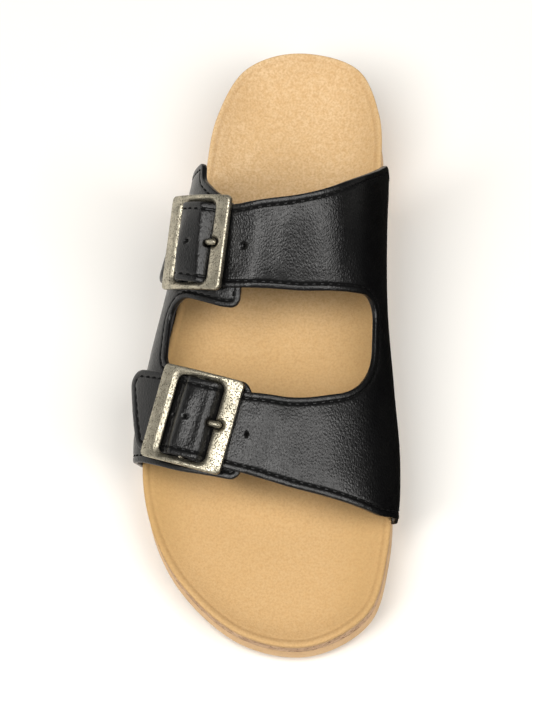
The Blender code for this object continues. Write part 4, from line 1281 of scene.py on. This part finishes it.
def make_prong(buckle, metal):
    """A round prong that comes up through the strap and ends in the frame's notch."""
    name = "pewter_prong_" + buckle.name
    p, n, radius = np.array(PRONG).T
    run = run_along(np.c_[p, n])
    places = np.linspace(0, run[-1], PRONG_STEPS)
    path = np.c_[hermite(run, p, places), hermite(run, n, places)]
    cap = np.linspace(0, math.pi / 2, CAP_STEPS)[1:]
    tip = path[-1] + radius[-1] * np.sin(cap)[:, None] * unit(path[-1] - path[-2])
    path = np.vstack([path, tip])
    radii = np.r_[hermite(run, radius, places), np.maximum(radius[-1] * np.cos(cap), LEAST_EDGE)]
    heading = unit(np.gradient(path, axis=0))
    points = [(p - h[1] * r * math.sin(a), r * math.cos(a), n + h[0] * r * math.sin(a))
              for (p, n), h, r in zip(path, heading, radii) for a in around_once(PRONG_SIDES)]
    faces = tube_faces(len(path), PRONG_SIDES)
    mesh = close_mesh(name, buckle.place(points), faces)
    add_piece(name, mesh, [metal], ["prong_" + buckle.name])


# Upper
def strap_rows(buckle):
    """Corners of a strap's free end, from its heel-side neck round the tip to its toe-side neck."""
    rows = [("neck", NECK_P, STRAP_FULL, NECK_RADIUS), ("tip", -buckle.tip_rear, STRAP_FULL, TIP_RADIUS),
            ("tip", -buckle.tip_front, -STRAP_FULL, TIP_RADIUS), ("neck", NECK_P, -STRAP_FULL, NECK_RADIUS)]
    return [(name, *buckle.pattern(p, q), radius) for name, p, q, radius in rows]


def strap_lift(flat, buckles):
    """How far the straps stand off the last: over tabs and centre bars, down again and out at the tip."""
    lift = np.zeros(len(flat))
    for buckle, on_strap in zip(buckles, (flat[:, 1] < STRAP_DIVIDE, flat[:, 1] >= STRAP_DIVIDE)):
        p = buckle.strap_place(flat[on_strap])
        rows = np.array([
            (-SOLE_LENGTH, STRAP_REST), (-DIP_P, STRAP_REST), (-BUMP_P, buckle.bump),
            (DESCENT_P[0], buckle.bump), (DESCENT_P[1], STRAP_REST),
            (RAMP_P[0], STRAP_REST), (RAMP_P[1], 0.0), (SOLE_LENGTH, 0.0)])
        i = np.clip(np.searchsorted(rows[:, 0], p) - 1, 0, len(rows) - 2)
        (start, low), (end, high) = rows[i].T, rows[i + 1].T
        lift[on_strap] = low + (high - low) * smooth(p, start, end)
        lift[on_strap] += buckle.flare * (np.maximum(-p - FRAME_P, 0) / FLARE_LENGTH) ** 2
    return lift


def crease_depth(flat, creases):
    """How far soft creases press the upper in."""
    depth = np.zeros(len(flat))
    for _, s, y, length, width, turn, deep in creases:
        angle = math.radians(turn)
        out = flat - (s, y)
        along = out[:, 1] * math.cos(angle) + out[:, 0] * math.sin(angle)
        across = out[:, 0] * math.cos(angle) - out[:, 1] * math.sin(angle)
        depth += deep * np.exp(-(across / width) ** 2 - (along / length) ** 4)
    return depth


class Panel:
    """A cut piece of the upper: its flat outline, creases and holes, and how far it stands off the last.

    Holes go right through, and punches are blind, their floors painted black as the shade of a hole.
    """

    def __init__(self, rows, lift, creases=(), holes=(), punches=()):
        self.loop = split_loop(rounded_loop(rows), EDGE_STEP)
        self.holes = [split_loop(hole, HOLE_STEP) for hole in holes]
        self.lift = lift
        self.creases = creases
        self.punches = punches

    def punch_distance(self, flat):
        """Distance to the middle of the nearest punched hole."""
        away = [np.linalg.norm(flat - punch, axis=1) for punch in self.punches]
        return np.min(away, axis=0) if away else np.full(len(flat), SOLE_LENGTH)

    def heights(self, flat):
        """Heights of the outer and the inner face over the last."""
        places = on_last(flat)
        edge = edge_distance(places, on_last(self.loop))
        outer = WALL - rounded(edge, EDGE_ROUND) + BEAD * bell(edge, BEAD_AT, BEAD_WIDTH)
        outer += PUFF * smooth(edge, PUFF_START, PUFF_END) - GROOVE * bell(edge, STITCH_AT, GROOVE_WIDTH)
        inner = rounded(edge, EDGE_ROUND)
        for hole in self.holes:
            near = edge_distance(places, on_last(hole))
            outer -= rounded(near, HOLE_ROUND) + HOLE_DIP * bell(near, 0.0, HOLE_DIP_WIDTH)
            inner += rounded(near, HOLE_ROUND)
        outer -= PUNCH_DEPTH * smooth(-self.punch_distance(flat), -PUNCH_RADIUS, -PUNCH_FLOOR)
        moved = self.lift(flat) - crease_depth(flat, self.creases) * smooth(edge, 0.0, PUFF_END)
        return outer + moved, inner + moved

    def mesh(self, name):
        chains = [circle(punch, radius) for punch in self.punches for radius in (PUNCH_RADIUS, PUNCH_FLOOR)]
        flat, triangles = fill(self.loop, EDGE_RINGS, UPPER_SPACING, on_last, self.holes, chains,
                               lambda p: self.punch_distance(p) < PUNCH_CLEAR)

        def outside(p):
            return LAST_SURFACE.at(p, self.heights(p)[0])

        def underside(p):
            return LAST_SURFACE.at(p, self.heights(p)[1])

        made = slab_mesh(name, flat, triangles, outside, underside)
        index = np.zeros(len(made.polygons), int)
        index[len(triangles):2 * len(triangles)] = INNER_MATERIAL
        # Painted shade: the floors of the blind punches get the black thread, standing in for the dark depth
        # of a hole.
        punched = self.punch_distance(flat[triangles].mean(axis=1)) < PUNCH_RADIUS
        index[:len(triangles)][punched] = PUNCH_SHADE_MATERIAL
        made.polygons.foreach_set("material_index", index)
        return made

    def stitches(self, hidden):
        """Middles, directions and normals of the stitches along the edge that aren't hidden."""
        line = beside(self.loop, STITCH_AT, on_last)
        closed = np.vstack([line, line[:1]])
        run = run_along(on_last(closed))
        pitch = run[-1] / round(run[-1] / STITCH_PITCH)
        places = np.arange(0.5 * pitch, run[-1] - 0.5 * pitch, pitch)
        flat = walked(closed, run, places)
        shown = (np.abs(flat[:, 0]) < TURN_START - STITCH_STOP) & ~hidden(flat)
        flat, places = flat[shown], places[shown]
        middle = LAST_SURFACE.at(flat, self.heights(flat)[0])
        after = on_last(walked(closed, run, places + STITCH_AHEAD))
        before = on_last(walked(closed, run, places - STITCH_AHEAD))
        return middle, after - before, LAST_SURFACE.at(flat, 1.0) - LAST_SURFACE.at(flat)


def stitch_mesh(name, middle, ahead, out):
    """Every stitch as a short thread whose ends dive into the leather, all in one mesh."""
    out = unit(out)
    ahead = unit(ahead - (ahead * out).sum(axis=1, keepdims=True) * out)
    slant = ahead * math.cos(STITCH_SLANT) + np.cross(out, ahead) * math.sin(STITCH_SLANT)
    across = np.cross(out, slant)
    along = np.array(STITCH_RINGS)
    girth = np.sqrt(1 - STITCH_TAPER * along ** 4)
    around = around_once(STITCH_SIDES)
    rise = np.repeat(STITCH_CROWN - along ** 4, STITCH_SIDES) * STITCH_DIVE
    x = np.repeat(along * STITCH_LENGTH / 2, STITCH_SIDES)
    y = np.outer(girth, np.cos(around)).ravel() * STITCH_WIDTH / 2
    z = np.outer(girth, np.sin(around)).ravel() * STITCH_HEIGHT / 2 + rise
    points = (middle[:, None] + x[:, None] * slant[:, None] + y[:, None] * across[:, None]
              + z[:, None] * out[:, None]).reshape(-1, 3)
    one = tube_faces(len(along), STITCH_SIDES)
    faces = [[i + k * len(x) for i in face] for k in range(len(middle)) for face in one]
    return close_mesh(name, points, faces)


def prong_hole(buckle):
    """Outline of the prong's oblong hole in the flat pattern."""
    near, far = HOLE_P
    corners = [(near, -HOLE_HALF), (far, -HOLE_HALF), (far, HOLE_HALF), (near, HOLE_HALF)]
    return rounded_loop([("hole", *buckle.pattern(p, q), HOLE_CORNER) for p, q in corners])


def make_upper(buckles):
    front, rear = buckles
    leather = leather_look()
    lining = lining_look()
    thread = thread_look()
    rows = MEDIAL_REAR + strap_rows(rear) + WINDOW + strap_rows(front) + MEDIAL_FRONT
    holes = [prong_hole(buckle) for buckle in buckles]
    punches = [buckle.pattern(*place) for buckle in buckles for place in buckle.punches]
    straps = Panel(rows, lambda p: strap_lift(p, buckles), CREASES, holes, punches)
    tabs = Panel(LATERAL, lambda p: np.zeros(len(p)))
    # The third material, the black thread, also paints shade on the punches' floors.
    add_piece("upper_straps", straps.mesh("upper_straps"),
              [leather, lining, thread], ["upper"])
    add_piece("upper_tabs", tabs.mesh("upper_tabs"), [leather, lining])
    lines = [straps.stitches(lambda p: np.zeros(len(p), bool)),
             tabs.stitches(lambda p: inside(p, straps.loop))]
    threads = stitch_mesh("upper_stitches", *(np.vstack(parts) for parts in zip(*lines)))
    add_piece("upper_stitches", threads, [thread])


# Surroundings
def matt_sheet(name, points, faces, material, size, first, second):
    """A matt sheet of the surroundings, in two near colours mixed by clouds of a size."""
    mesh = bpy.data.meshes.new(name)
    mesh.from_pydata(points, [], faces)
    look = Look(material, {"Roughness": 0.9, "Specular IOR Level": 0.1})
    look.set("Base Color", look.mixed(look.noise(size), first, second))
    mesh.materials.append(look.material)
    return add_object(name, mesh)


def add_floor():
    corners = [(x * FLOOR_HALF, y * FLOOR_HALF, 0.0) for x, y in ((-1, -1), (1, -1), (1, 1), (-1, 1))]
    floor = matt_sheet("floor", corners, [(0, 1, 2, 3)], "floor_white", 400.0,
                       linear(246, 244, 240), linear(248, 246, 242))


def add_shade_card():
    """A dark card, flat on the floor and then upright beside the medial walls, seen by gloss alone: painted
    shade, darkening what the medial walls reflect.
    """
    corners = np.array([(x, y, z) for x, z in CARD_BENDS for y in CARD_Y])
    card = matt_sheet("dark_card", ((corners + SHIFT) * MM).tolist(), [(0, 1, 3, 2), (2, 3, 5, 4)],
                      "card_painted_shade", 20.0, linear(34, 33, 31), linear(40, 39, 37))
    card.visible_camera = False
    card.visible_diffuse = False
    card.visible_shadow = False


def add_camera():
    data = bpy.data.cameras.new("camera")
    data.sensor_width = SENSOR
    data.lens = LENS
    camera = add_object("camera", data)
    back = (Vector(EYE) - Vector(AIM)).normalized()
    right = Vector(PHOTO_UP).cross(back).normalized()
    turn = Matrix((right, back.cross(right), back)).transposed()
    camera.matrix_world = Matrix.Translation((Vector(EYE) + Vector(SHIFT)) * MM) @ turn.to_4x4()
    bpy.context.scene.camera = camera


def add_lights():
    for name, place, aim, width, length, watts, colour in LIGHTS:
        data = bpy.data.lights.new(name, "AREA")
        data.shape = "RECTANGLE"
        data.size = width
        data.size_y = length
        data.energy = watts
        data.color = colour
        light = add_object(name, data)
        light.location = place
        light.rotation_euler = (Vector(aim) - Vector(place)).to_track_quat("-Z", "Y").to_euler()
    world = bpy.data.worlds.new("studio")
    world.use_nodes = True
    background = world.node_tree.nodes["Background"]
    background.inputs["Color"].default_value = (*WORLD, 1.0)
    background.inputs["Strength"].default_value = WORLD_STRENGTH
    bpy.context.scene.world = world
    bpy.context.scene.view_settings.view_transform = "Standard"


add_camera()
add_lights()
add_floor()
add_shade_card()
make_footbed()
make_cork()
make_outsole()
BOTH = [Buckle(*row) for row in BUCKLES]
make_upper(BOTH)
PEWTER = pewter_look()
for each in BOTH:
    make_frame(each, PEWTER)
    make_prong(each, PEWTER)
